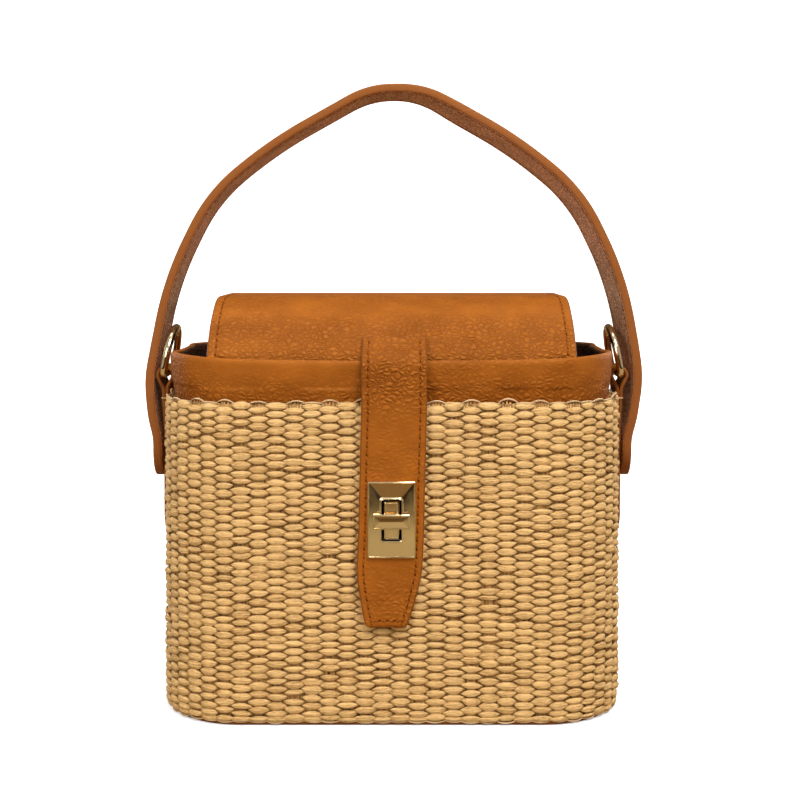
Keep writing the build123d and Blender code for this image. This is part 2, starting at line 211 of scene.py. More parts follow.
def outline(length, inset):
    """Plan outline of the body: point and outward normal.

    The length runs along the outermost line from the middle of the front towards +X. The normal's
    turn and the corner's centre are linear in the length between joints, and the point is the
    centre plus the normal times the corner radius less the inset.
    """
    length = np.mod(length, GIRTH)
    quarter = np.array([0, 0, 1, 1, 2, 2, 3, 3, 4, 4]) * math.pi / 2
    a = FRONT_RUN
    b = SIDE_RUN
    turn = np.interp(length, OUTLINE_JOINTS, quarter)
    centre_x = np.interp(length, OUTLINE_JOINTS, [0, a, a, a, a, -a, -a, -a, -a, 0])
    centre_y = np.interp(length, OUTLINE_JOINTS, [-b, -b, -b, b, b, b, b, -b, -b, -b])
    out_x = np.sin(turn)
    out_y = -np.cos(turn)
    reach = CORNER - inset
    return centre_x + reach * out_x, centre_y + reach * out_y, out_x, out_y


def rounded_line(points, share=0.45, steps=9):
    """A plane route with each corner replaced by a parabola.

    The parabola's tangents take up the share of the shorter run beside the corner.
    """
    points = np.asarray(points, float)
    corner = points[1:-1]
    back = points[:-2] - corner
    ahead = points[2:] - corner
    back_run = np.linalg.norm(back, axis=1, keepdims=True)
    ahead_run = np.linalg.norm(ahead, axis=1, keepdims=True)
    reach = share * np.minimum(back_run, ahead_run)
    start = corner + back / back_run * reach
    end = corner + ahead / ahead_run * reach
    t = np.linspace(0, 1, steps)[None, :, None]
    bends = (1 - t) ** 2 * start[:, None] + 2 * t * (1 - t) * corner[:, None] + t**2 * end[:, None]
    return np.vstack([points[:1], bends.reshape(-1, points.shape[1]), points[-1:]])


def run_along(line):
    """Length along a line of points, at each of them."""
    return np.concatenate([[0], np.cumsum(np.linalg.norm(np.diff(line, axis=0), axis=1))])


def line_length(line):
    """Length of a line of points."""
    return run_along(line)[-1]


def spaced(line, places, values=None):
    """Values at the given lengths along a line, by linear interpolation: its own points by default."""
    values = line if values is None else values
    along = run_along(line)
    return np.stack([np.interp(places, along, column) for column in values.T], -1)


def unit(vectors):
    """The same directions at length 1."""
    return vectors / np.linalg.norm(vectors, axis=-1, keepdims=True)


def directions(line):
    """Unit tangents along a line, from central differences."""
    return unit(np.gradient(line, axis=0))


def left_of(run):
    """Plane directions a quarter turn to the left of the given ones."""
    return np.stack([-run[:, 1], run[:, 0]], -1)


def round_turn(count):
    """Angles of a full turn in equal steps."""
    return np.linspace(0, 2 * math.pi, count + 1)[:-1]


def body_lengths(count):
    """Even places round the body's outline, as lengths from the middle of the front."""
    return np.arange(count) / count * GIRTH


def smooth_step(share):
    """Rise from 0 to 1 with flat ends: 3 s^2 - 2 s^3, with s the share clipped to 0 and 1."""
    share = np.clip(share, 0, 1)
    return (3 - 2 * share) * share**2


def quarter_round(share):
    """Drop of a quarter circle of radius 1 at a share of its run: 1 - sqrt(1 - share^2)."""
    return 1 - np.sqrt(1 - share**2)


def each(values):
    """One value for each copy of a shape, ready to spread over the shape's grid."""
    return np.asarray(values)[:, None, None]


def grid_faces(rows, columns, wrap_rows=False, wrap_columns=False):
    """Quads of a grid, facing along row direction times column direction."""
    index = np.arange(rows * columns).reshape(rows, columns)
    if wrap_rows:
        index = np.vstack([index, index[:1]])
    if wrap_columns:
        index = np.hstack([index, index[:, :1]])
    corners = [index[:-1, :-1], index[1:, :-1], index[1:, 1:], index[:-1, 1:]]
    return np.stack(corners, -1).reshape(-1, 4)


def end_caps(rows, columns, start=0):
    """Quads that close both end rings of a grid with joined columns, rung by rung from a start."""
    rung = np.arange(columns // 2 - 1)
    corners = np.stack([rung, rung + 1, -2 - rung, -1 - rung], -1)
    first = np.mod(corners + start, columns)
    return np.concatenate([first, first[:, ::-1] + (rows - 1) * columns])


def tube_faces(rows, columns, start=0):
    """Quads of a grid with joined columns and closed ends."""
    sides = grid_faces(rows, columns, wrap_columns=True)
    return np.concatenate([sides, end_caps(rows, columns, start)])


def copies(faces, size, count):
    """Faces of one shape repeated for each copy, where each copy has so many points."""
    return (faces[None] + (np.arange(count) * size)[:, None, None]).reshape(-1, faces.shape[1])


def add_object(name, data):
    """An object for the data, linked into the scene."""
    made = bpy.data.objects.new(name, data)
    bpy.context.scene.collection.objects.link(made)
    return made


def make_piece(name, points, faces, finish, fields=None, uv=None, crisp=None):
    """A mesh object at the origin, with smooth faces, one finish and named point values.

    Crisp is the turn in degrees past which an edge shows sharp.
    """
    mesh = bpy.data.meshes.new(name)
    mesh.from_pydata(np.asarray(points).reshape(-1, 3).tolist(), [], np.asarray(faces).tolist())
    mesh.polygons.foreach_set("use_smooth", np.ones(len(mesh.polygons), bool))
    for title, values in (fields or {}).items():
        field = mesh.attributes.new(title, "FLOAT", "POINT")
        field.data.foreach_set("value", np.asarray(values, np.float32).ravel())
    if uv is not None:
        corner_points = np.zeros(len(mesh.loops), np.int32)
        mesh.loops.foreach_get("vertex_index", corner_points)
        layer = mesh.uv_layers.new(name="UVMap")
        layer.data.foreach_set("uv", uv.reshape(-1, 2)[corner_points].astype(np.float32).ravel())
    mesh.materials.append(finish)
    mesh.validate()
    if crisp is not None:
        mesh.set_sharp_from_angle(angle=math.radians(crisp))
    return add_object(name, mesh)


def settle(piece, body, slot, *nodes):
    """The piece rides on a body and stands for these nodes. The slot is not used."""
    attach(piece, body)
    if nodes:
        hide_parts(*nodes)
    return piece


# Finishes


class Nodes:
    """Short calls for the nodes of one node tree."""

    def __init__(self, tree):
        self.tree = tree

    def link(self, start, end):
        """Join an output to an input."""
        self.tree.links.new(start, end)

    def node(self, kind, inputs=None, **settings):
        """A node with settings, whose inputs are values or other nodes' outputs."""
        made = self.tree.nodes.new(kind)
        for title, value in settings.items():
            setattr(made, title, value)
        for title, value in (inputs or {}).items():
            if isinstance(value, bpy.types.NodeSocket):
                self.link(value, made.inputs[title])
            else:
                made.inputs[title].default_value = value
        return made

    def object_place(self):
        """The piece's own coordinates."""
        return self.node("ShaderNodeTexCoord").outputs["Object"]

    def field(self, title):
        """A named point value of the piece."""
        return self.node("ShaderNodeAttribute", attribute_name=title).outputs["Fac"]

    def noise(self, place, scale, detail=3.0, roughness=0.55):
        """Soft noise at a place, from 0 to 1."""
        inputs = {"Vector": place, "Scale": scale, "Detail": detail, "Roughness": roughness}
        return self.node("ShaderNodeTexNoise", inputs).outputs["Fac"]

    def math(self, operation, first, second=0.0, third=0.0):
        """One step of arithmetic on up to three values."""
        inputs = {0: first, 1: second, 2: third}
        return self.node("ShaderNodeMath", inputs, operation=operation).outputs[0]

    def spread(self, value, low, high, to_low=0.0, to_high=1.0, kind="LINEAR"):
        """A value carried from one range to another, and held at its ends."""
        inputs = {"Value": value, "From Min": low, "From Max": high, "To Min": to_low, "To Max": to_high}
        return self.node("ShaderNodeMapRange", inputs, interpolation_type=kind).outputs["Result"]

    def mix(self, share, first, second):
        """Two colours mixed by a share. They are the node's inputs 6 and 7, counted from 0."""
        inputs = {0: share, 6: first, 7: second}
        return self.node("ShaderNodeMix", inputs, data_type="RGBA").outputs[2]

    def bump(self, height, strength, distance):
        """The surface's normal, bent by a height."""
        inputs = {"Height": height, "Strength": strength, "Distance": distance}
        return self.node("ShaderNodeBump", inputs).outputs["Normal"]


class Finish(Nodes):
    """A procedural material round one shader, whose constants are set on its own sockets."""

    def __init__(self, name, **constants):
        self.material = bpy.data.materials.new(name)
        self.material.use_nodes = True
        super().__init__(self.material.node_tree)
        self.shader = self.tree.nodes["Principled BSDF"]
        for socket, value in constants.items():
            self.shader.inputs[socket.replace("_", " ")].default_value = value

    def finish(self, colour=None, roughness=None, normal=None):
        """The material, with the given outputs joined to its shader."""
        for socket, value in (("Base Color", colour), ("Roughness", roughness), ("Normal", normal)):
            if value is not None:
                self.link(value, self.shader.inputs[socket])
        return self.material


def leather_finish(name, skin, crease, rim, tint, grain=520.0, depth=0.6 * MM):
    """Milled leather: uneven pebbles with creases between them, broad tone and a painted rim.

    Pebbles come from the distance to the nearest cell border, on coordinates that are stretched
    sideways and bent by noise. The piece's own grain value and a broad noise set how deep they are.
    The crease colour is painted shade: it darkens the creases between pebbles, more where the grain
    is deep, and the hollows of broad folds.
    """
    made = Finish(name, Specular_IOR_Level=0.3, Specular_Tint=tint)
    place = made.object_place()
    warp = made.node("ShaderNodeTexNoise", {"Vector": place, "Scale": 170.0, "Detail": 2.0})
    bent = made.node(
        "ShaderNodeVectorMath",
        {0: warp.outputs["Color"], 1: (0.005, 0.005, 0.0042), 2: place},
        operation="MULTIPLY_ADD",
    )
    wide = made.node("ShaderNodeMapping", {"Vector": bent.outputs[0], "Scale": (0.74, 0.9, 1.12)})
    cells = made.node(
        "ShaderNodeTexVoronoi",
        {"Vector": wide.outputs["Vector"], "Scale": grain, "Randomness": 0.95},
        feature="DISTANCE_TO_EDGE",
    )
    pebble = made.spread(cells.outputs["Distance"], 0.0, 0.46, kind="SMOOTHERSTEP")
    small = made.node(
        "ShaderNodeTexVoronoi",
        {"Vector": wide.outputs["Vector"], "Scale": grain * 2.4, "Randomness": 1.0},
        feature="F1",
    )
    fine = made.noise(place, 2400.0, 2.0)
    broad = made.noise(place, 34.0, 3.0)
    fold = made.noise(wide.outputs["Vector"], 110.0, 3.0)
    force = made.math("ADD", made.field("grain"), made.spread(broad, 0.3, 0.7, -0.4, 0.3))
    force = made.spread(force, 0.0, 1.0, 0.1, 1.0)
    # Painted shade: the crease colour darkens the creases between pebbles, as far as the grain reaches.
    shade = made.math("MULTIPLY", made.spread(pebble, 0.0, 0.3, 0.7, 0.0), force)
    tone = made.mix(shade, skin, crease)
    # Painted shade: the crease colour also darkens the hollows of the broad folds.
    tone = made.mix(made.spread(fold, 0.35, 0.65, 0.35, 0.0), tone, crease)
    height = made.math("MULTIPLY_ADD", small.outputs["Distance"], -0.35, pebble)
    height = made.math("MULTIPLY_ADD", fine, 0.1, height)
    height = made.math("MULTIPLY", height, force)
    height = made.math("MULTIPLY_ADD", fold, 0.9, height)
    edge = made.spread(made.field("rim"), 0.3, 0.6)
    tone = made.mix(edge, tone, rim)
    height = made.math("MULTIPLY", height, made.spread(made.field("rim"), 0.25, 0.65, 1.0, 0.1))
    gloss = made.spread(pebble, 0.0, 1.0, 0.62, 0.38)
    return made.finish(tone, gloss, made.bump(height, 0.8, depth))


def raffia_finish(name, pale, deep, shadow):
    """Raffia strand: streaks along the fibre, a tone for each float, and painted shade that darkens the
    tucked ends and edges.
    """
    made = Finish(name, Specular_IOR_Level=0.3)
    place = made.node("ShaderNodeUVMap", uv_map="UVMap").outputs["UV"]
    fibre = made.node("ShaderNodeMapping", {"Vector": place, "Scale": (0.26, 1.9, 1.0)})
    streak = made.noise(fibre.outputs["Vector"], 1.0, 4.0, 0.7)
    blotch = made.noise(place, 0.35, 2.0)
    fleck = made.spread(made.noise(place, 1.1, 2.0), 0.58, 0.72)
    line = made.spread(streak, 0.38, 0.62)
    tone = made.math("MULTIPLY_ADD", made.field("tone"), 0.4, made.math("MULTIPLY", line, 0.6))
    tone = made.math("MULTIPLY_ADD", blotch, 0.25, tone)
    tone = made.math("MULTIPLY_ADD", fleck, -0.3, tone)
    # Painted shade: the tone drops, then turns to the shadow colour, towards the tucked ends and edges.
    tone = made.math("SUBTRACT", tone, made.spread(made.field("tuck_shade"), 0.25, 0.8, 0.0, 0.16))
    colour = made.mix(made.spread(tone, 0.0, 0.68), deep, pale)
    colour = made.mix(made.spread(made.field("tuck_shade"), 0.72, 1.0, 0.0, 0.75), colour, shadow)
    gloss = made.spread(streak, 0.2, 0.8, 0.66, 0.44)
    return made.finish(colour, gloss, made.bump(streak, 1.0, 1.0 * MM))


def stake_finish(name, pale, deep):
    """Upright stakes behind the weave: streaks along Z, in shadow colours."""
    made = Finish(name, Roughness=0.75, Specular_IOR_Level=0.2)
    stretch = {"Vector": made.object_place(), "Scale": (1300.0, 1300.0, 60.0)}
    fibre = made.node("ShaderNodeMapping", stretch)
    streak = made.noise(fibre.outputs["Vector"], 1.0, 3.0)
    colour = made.mix(made.spread(streak, 0.3, 0.7), deep, pale)
    return made.finish(colour, None, made.bump(streak, 0.5, 0.2 * MM))


def metal_finish(name, tint, roughness):
    """Polished plated metal, with faint smears in its gloss."""
    made = Finish(name, Base_Color=tint, Metallic=1.0)
    smear = made.noise(made.object_place(), 160.0, 2.0)
    return made.finish(None, made.spread(smear, 0.3, 0.7, roughness * 0.75, roughness * 1.4))


def cloth_finish(name, thread, gap):
    """Plain fine cloth: crossed threads from two wave sets."""
    made = Finish(name, Roughness=0.9, Specular_IOR_Level=0.05)
    place = made.object_place()
    weft = made.node("ShaderNodeTexWave", {"Vector": place, "Scale": 420.0}, bands_direction="Z")
    warp = made.node("ShaderNodeTexWave", {"Vector": place, "Scale": 420.0}, bands_direction="DIAGONAL")
    both = made.math("MULTIPLY", weft.outputs["Fac"], warp.outputs["Fac"])
    broad = made.noise(place, 60.0)
    tone = made.math("MULTIPLY_ADD", broad, 0.4, both)
    colour = made.mix(made.spread(tone, 0.1, 0.9), gap, thread)
    return made.finish(colour, None, made.bump(both, 0.4, 0.1 * MM))


def plain_finish(name, light, dark, scale, **constants):
    """Two tones mixed by noise, for thread, the painted shade of stitch holes, and board."""
    made = Finish(name, **constants)
    cloud = made.noise(made.object_place(), scale)
    colour = made.mix(made.spread(cloud, 0.35, 0.65), dark, light)
    return made.finish(colour, None, made.bump(cloud, 0.2, 0.1 * MM))


THREAD_CLOUDS = 900.0
BOARD_CLOUDS = 300.0
# The second colour of each leather is its painted shade for creases and fold hollows.
TAN = leather_finish(
    "tan_leather", (0.375, 0.108, 0.0105, 1.0), (0.17, 0.04, 0.003, 1.0), (0.27, 0.085, 0.02, 1.0),
    (1.0, 0.6, 0.26, 1.0),
)
INSIDE_TAN = leather_finish(
    "inside_leather", (0.84, 0.43, 0.24, 1.0), (0.17, 0.065, 0.03, 1.0), (0.27, 0.085, 0.02, 1.0),
    (0.6, 0.36, 0.22, 1.0), 700.0,
)
# The facing is real leather; its near-black colour is painted shade for the inside of the bag.
SHADED_FACING = leather_finish(
    "facing_with_painted_shade", (0.07, 0.028, 0.014, 1.0), (0.02, 0.008, 0.004, 1.0), (0.2, 0.06, 0.014, 1.0),
    (0.5, 0.3, 0.2, 1.0), 620.0,
)
BASE_BROWN = leather_finish(
    "base_leather", (0.26, 0.085, 0.02, 1.0), (0.13, 0.038, 0.009, 1.0), (0.2, 0.06, 0.016, 1.0),
    (0.8, 0.5, 0.3, 1.0), 620.0, 0.2 * MM,
)
# The third colour of each straw is the painted shade at the tucked ends and edges.
STRAW = raffia_finish(
    "straw", (0.95, 0.6, 0.242, 1.0), (0.55, 0.29, 0.088, 1.0), (0.14, 0.055, 0.012, 1.0)
)
PALE_STRAW = raffia_finish(
    "pale_straw", (0.9, 0.62, 0.33, 1.0), (0.68, 0.4, 0.16, 1.0), (0.2, 0.085, 0.02, 1.0)
)
STAKE = stake_finish("stake_straw", (0.55, 0.29, 0.09, 1.0), (0.05, 0.018, 0.004, 1.0))
GOLD = metal_finish("pale_gold", (0.82, 0.66, 0.4, 1.0), 0.11)
# Near-black metal for the lock's flange: painted shade for the dark inside of the slot.
SLOT_SHADE_METAL = metal_finish("slot_shade_metal", (0.03, 0.022, 0.016, 1.0), 0.5)
STEEL = metal_finish("plain_steel", (0.55, 0.55, 0.55, 1.0), 0.35)
LINING = cloth_finish("dark_lining", (0.026, 0.016, 0.01, 1.0), (0.008, 0.005, 0.004, 1.0))
THREAD = plain_finish(
    "tan_thread", (0.34, 0.1, 0.012, 1.0), (0.2, 0.05, 0.004, 1.0), THREAD_CLOUDS,
    Roughness=0.8, Specular_IOR_Level=0.1,
)
PALE_THREAD = plain_finish(
    "pale_thread", (0.75, 0.48, 0.24, 1.0), (0.55, 0.3, 0.12, 1.0), THREAD_CLOUDS, Roughness=0.7
)
# Painted shade for the stitch holes and the thread's shadow.
HOLE_SHADE = plain_finish(
    "stitch_hole_shade", (0.13, 0.032, 0.004, 1.0), (0.07, 0.016, 0.002, 1.0), THREAD_CLOUDS,
    Roughness=0.9, Specular_IOR_Level=0.0,
)
BOARD = plain_finish(
    "stiff_board", (0.3, 0.17, 0.09, 1.0), (0.22, 0.12, 0.06, 1.0), BOARD_CLOUDS, Roughness=0.8
)


# Raffia weave


def weave_place(length, inset, z):
    """Points of the weave at a length round the body, an inset and a height.

    The wall leans in as a square of the height, at its foot and along the front and back rim, and
    it is spread sideways in step with x.
    """
    out_x = outline(length, 0)[2]
    rim = np.clip((z - WALL_HIGH[2] + RIM_LEAN_RUN) / RIM_LEAN_RUN, 0, 1.3)
    foot = np.clip((WEAVE_FOOT + FOOT_TUCK_RUN - z) / FOOT_TUCK_RUN, 0, 1.1)
    lean = RIM_LEAN * rim**2 * (1 - 0.9 * out_x**2) + FOOT_TUCK * foot**2
    x, y, _, _ = outline(length, inset + lean)
    return np.stack(np.broadcast_arrays(x * (1 + WEAVE_SPREAD / HALF_WIDTH), y, z), -1)


def lock_press(length, z):
    """How far the weave is pressed in by the lock's flange: smooth steps in x and z round it."""
    x, y, _, _ = outline(length, 0)
    half_z = (LOCK_BASE_HIGH[2] - LOCK_BASE_LOW[2]) / 2
    near_x = smooth_step((LOCK_BASE_HIGH[0] + LOCK_PRESS_RUN - np.abs(x)) / LOCK_PRESS_RUN)
    near_z = smooth_step((half_z + LOCK_PRESS_RUN - np.abs(z - LOCK_Z)) / LOCK_PRESS_RUN)
    return LOCK_PRESS * near_x * near_z * (y < 0)


def raffia_floats(name, first, last, seed):
    """The floats of the weave over one run of columns, as pointed, crowned surfaces.

    Along the strand u from -1 to 1, across it v from -1 to 1. The upper and the lower edge each
    narrow as 1 - |u|^p, with a power p of their own, and each tip stands off by a draw times u^2.
    The strand sinks by |u|^2.2 of its sink depth, its section drops by |v|^2.6 of the crown, and
    creases run along it as a sine of v. A value that rises towards the tips and edges paints shade
    where each float slips under its neighbours.
    """
    draw = np.random.default_rng(seed)
    rows = int((WALL_HIGH[2] - WEAVE_FOOT) / FLOAT_PITCH)
    column, row = (item.ravel() for item in np.meshgrid(np.arange(first, last), np.arange(-1, rows)))
    kept = (row >= 0) | (column % 2 == 1)
    column, row = column[kept], row[kept]
    count = column.size
    reach = np.array([0.2, 0.46, 0.68, 0.86, 1.0])
    u = np.concatenate([-reach[::-1], reach])[None, :, None]
    v = np.array([-1, -0.72, -0.3, 0.12, 0.5, 0.8, 1])[None, None, :]
    z_middle = WEAVE_FOOT + FLOAT_PITCH * (row + 0.46 + 0.5 * (column % 2))
    z_middle = np.maximum(z_middle + draw.normal(0, STRAND_STRAY, count), WEAVE_FOOT + FLOAT_FOOT_ROOM)
    half_length = FLOAT_HALF_LENGTH * (1 + draw.normal(0, 0.05, count))
    half_up, half_down = FLOAT_HALF_HEIGHT * np.clip(1 + draw.normal(0, 0.17, (2, count)), 0.62, 1.25)
    half_down = np.where(row < 0, 0.6, 1.0) * half_down
    power_up, power_down = draw.uniform(1.35, 2.5, (2, count))
    tip_left, tip_right = draw.normal(0, FLOAT_TIP_STRAY, (2, count))
    proud = draw.normal(0, FLOAT_PROUD, count)
    fold = draw.uniform(0, 2 * math.pi, count)
    fold_count = draw.uniform(5.0, 10.0, count)
    fold_depth = draw.uniform(0.06, 0.24, count) * MM
    tone = np.clip(draw.normal(0.5, 0.25, count), 0, 1)
    upper = 0.05 + 0.95 * (1 - np.abs(u) ** each(power_up))
    lower = 0.05 + 0.95 * (1 - np.abs(u) ** each(power_down))
    along = each(half_length) * u
    height = np.where(v > 0, each(half_up) * upper, each(half_down) * lower)
    crease = each(fold_depth) * np.sin(each(fold_count) * v + 1.2 * u + each(fold)) * (1 - u**4)
    inset = FLOAT_SINK * np.abs(u) ** 2.2 + FLOAT_CROWN * np.abs(v) ** 2.6 * (0.3 + 0.7 * upper)
    z = each(z_middle) + v * height + np.where(u < 0, each(tip_left), each(tip_right)) * u**2
    length = each((column + 0.5) * COLUMN_PITCH) + along + 0 * v
    inset = inset - each(proud) - crease + lock_press(length, z)
    points = weave_place(length, inset, z)
    shift = draw.uniform(0, 400, (2, count))
    uv = np.stack([(along + 0 * v) / MM + each(shift[0]), v * height / MM + each(shift[1])], -1)
    # Mask for painted shade, rising towards the tips and edges where the floats slip under their
    # neighbours.
    tuck_shade = np.maximum(np.abs(u), 0.92 * np.abs(v)) + 0 * each(tone)
    fields = {"tone": each(tone) + 0 * u * v, "tuck_shade": tuck_shade}
    faces = copies(grid_faces(u.size, v.size), u.size * v.size, count)
    piece = make_piece(name, points, faces, STRAW, fields, uv)
    return settle(piece, "bag", "raffia")


def strand_loops(name, columns, z_foot, rise, seed):
    """Short strand loops at the edge of the weave, one over each given column.

    The middle line spans 1.4 columns, rises by cos(t pi / 2) of the rise and tucks in with t
    squared. The section is an ellipse, thinner towards the ends.
    """
    draw = np.random.default_rng(seed)
    columns = np.asarray(columns)
    count = columns.size
    t = np.linspace(-1, 1, 9)[None, :, None]
    angle = round_turn(6)[None, None, :]
    size = each(np.clip(1 + draw.normal(0, 0.24, count), 0.55, 1.25))
    lift = rise * size * np.cos(t * math.pi / 2) ** 0.8
    along = each((columns + 0.5 + draw.normal(0, 0.05, count)) * COLUMN_PITCH)
    along = along + 0.7 * COLUMN_PITCH * t
    thin = 1 - 0.55 * t**2
    inset = LOOP_DEPTH + LOOP_TUCK * t**2 - LOOP_HALF_DEPTH * thin * np.cos(angle)
    z = z_foot + lift + LOOP_HALF_HEIGHT * thin * np.sin(angle)
    points = weave_place(along + 0 * angle, inset, z)
    tone = each(draw.uniform(0.2, 1.0, count)) + 0 * t * angle
    shift = each(draw.uniform(0, 300, count))
    uv = np.stack([t * 4 + shift + 0 * angle, angle * 0.5 + shift + 0 * t], -1)
    # Painted shade: the loops darken towards their ends, where they go into the weave.
    fields = {"tone": tone, "tuck_shade": 0.75 * np.abs(t) + 0 * tone}
    faces = copies(tube_faces(t.size, angle.size), t.size * angle.size, count)
    piece = make_piece(name, points, faces, PALE_STRAW, fields, uv)
    return settle(piece, "bag", "raffia")


def strand_combs(name, columns, z_foot, z_head, seed):
    """Upright fibres under the edge loops: a fan of five half-round tongues over each column.

    A tongue's section is a cosine across its width, and the fan's outer tongues are shorter by
    the square of their place.
    """
    draw = np.random.default_rng(seed)
    place = np.array([-2, -1, 0, 1, 2]) * 0.2
    column, spot = (item.ravel() for item in np.meshgrid(np.asarray(columns), place))
    count = column.size
    across = np.linspace(-1, 1, 4)[None, None, :]
    up = np.linspace(0, 1, 3)[None, :, None]
    head = z_head - FIBRE_FALL * (spot / place.max()) ** 2 + draw.normal(0, STRAND_STRAY, count)
    z = z_foot + (each(head) - z_foot) * up
    spread = each((column + 0.5 + spot + draw.normal(0, 0.025, count)) * COLUMN_PITCH)
    length = spread + FIBRE_HALF * across
    inset = FIBRE_DEPTH - FIBRE_CROWN * np.cos(across * math.pi / 2) + FIBRE_LEAN * up
    points = weave_place(length + 0 * up, inset, z)
    tone = each(draw.uniform(0.1, 0.8, count)) + 0 * up * across
    uv = np.stack([up * 3 + each(draw.uniform(0, 300, count)) + 0 * across, across + 0 * tone], -1)
    # Painted shade: the fibres darken towards their sides and a little overall.
    fields = {"tone": tone, "tuck_shade": 0.62 * np.abs(across) + 0.25 + 0 * tone}
    faces = copies(grid_faces(up.size, across.size)[:, ::-1], up.size * across.size, count)
    piece = make_piece(name, points, faces, STRAW, fields, uv)
    return settle(piece, "bag", "raffia")


def raffia_stakes():
    """The upright stakes behind the floats: one closed ring, a half-round rib for each column."""
    around = 8 * COLUMNS
    length = body_lengths(around)
    rib = np.abs(np.sin(length / COLUMN_PITCH * math.pi))
    low = WEAVE_FOOT + 0.4 * MM
    high = WALL_HIGH[2] - 0.9 * MM
    front = STAKE_DEPTH - STAKE_RIB * rib
    back = COLLAR_INSET - 0.25 * MM + STAKE_THICKENING * outline(length, 0)[2] ** 2
    rings = [weave_place(length, front, z) for z in np.linspace(low, high, 30)]
    rings += [weave_place(length, back, z) for z in (high, low)]
    faces = grid_faces(len(rings), around, wrap_rows=True, wrap_columns=True)[:, ::-1]
    piece = make_piece("raffia_stakes", np.stack(rings), faces, STAKE)
    return settle(piece, "bag", "raffia", "raffia_wall")


def make_weave():
    """The whole weave: four quarters of floats, the edge strands at rim and foot, and the stakes."""
    quarter = COLUMNS // 4
    sides = ("front_right", "back_right", "back_left", "front_left")
    for index, side in enumerate(sides):
        raffia_floats(f"raffia_{side}", index * quarter, (index + 1) * quarter, 40 + index)
    rim = WALL_HIGH[2]
    foot = WEAVE_FOOT
    odd = np.arange(1, COLUMNS, 2)
    even = np.arange(0, COLUMNS, 2)
    strand_loops("raffia_top_loops", even, rim - 1.4 * MM, 2.0 * MM, 51)
    strand_combs("raffia_top_combs", even, rim - 2.6 * MM, rim + 0.1 * MM, 55)
    strand_loops("raffia_top_ties", odd, rim - 0.9 * MM, 0.5 * MM, 52)
    strand_loops("raffia_foot_loops", odd, foot + 0.7 * MM, -1.0 * MM, 53)
    strand_loops("raffia_foot_ties", even, foot + 0.5 * MM, -0.8 * MM, 54)
    raffia_stakes()


# Bands that run round the body


def round_band(name, profile, finish, sway=None, fields=None, lift=None):
    """A profile of (inset, height) points carried round the body's outline, spread like the weave.

    At the middle of each side it is dented by a smooth step in y, so that the ring can swing. Sway
    is a function of the length round the body and the profile's share, added to the inset. Lift is
    a function of a point's plan place and height, added to its height.
    """
    around = BAND_STEPS
    length = body_lengths(around)
    profile = np.asarray(profile)
    inset = profile[:, :1] + np.zeros((1, around))
    if sway is not None:
        inset = inset + sway(length[None, :], np.linspace(0, 1, len(profile))[:, None])
    x, y, _, _ = outline(length[None, :] + 0 * inset, inset)
    dent = RING_DENT * smooth_step((RING_ROOM - np.abs(y)) / RING_ROOM_RUN)
    x = x * (1 + 0.7 * WEAVE_SPREAD / HALF_WIDTH)
    x = x - np.sign(x) * dent * (np.abs(x) > 0.8 * HALF_WIDTH)
    z = profile[:, 1:] + 0 * x
    if lift is not None:
        z = z + lift(x, y, z)
    points = np.stack([x, y, z], -1)
    faces = grid_faces(len(profile), around, wrap_columns=True)[:, ::-1]
    values = {title: row[:, None] + 0 * x for title, row in (fields or {}).items()}
    return make_piece(name, points, faces, finish, values)


def soft_sway(size, seed):
    """A gentle unevenness: a sum of waves round the body, fading at both ends of the profile."""
    draw = np.random.default_rng(seed)
    count = 14
    waves = draw.integers(3, 34, count)
    phase = draw.uniform(0, 2 * math.pi, (2, count))
    tilt_rate = draw.uniform(2, 9, count)

    def sway(length, share):
        """Inset at a length round the body and a share of the profile."""
        turn = length[..., None] / GIRTH * 2 * math.pi * waves + phase[0]
        tilt = share[..., None] * tilt_rate + phase[1]
        return size * np.sin(math.pi * share) * (np.sin(turn + np.sin(tilt)) / np.sqrt(waves)).sum(-1)

    return sway


def collar_lift(x, y, z):
    """How far the collar's rim sags at the middle of the front and rises towards both ends.

    The sag falls off with x squared and the rise grows with x to the fourth, both from the rim's
    height down to nothing at the weave's rim.
    """
    share = np.clip((z - WALL_HIGH[2]) / (COLLAR_HIGH[2] - WALL_HIGH[2]), 0, 1)
    across = np.abs(x) / COLLAR_HIGH[0]
    front = np.clip(-y / (0.6 * HALF_DEPTH), 0, 1)
    sag = COLLAR_SAG * front * (1 - np.clip(across, 0, 1) ** 2)
    return share * (COLLAR_RISE * across**4 - sag)


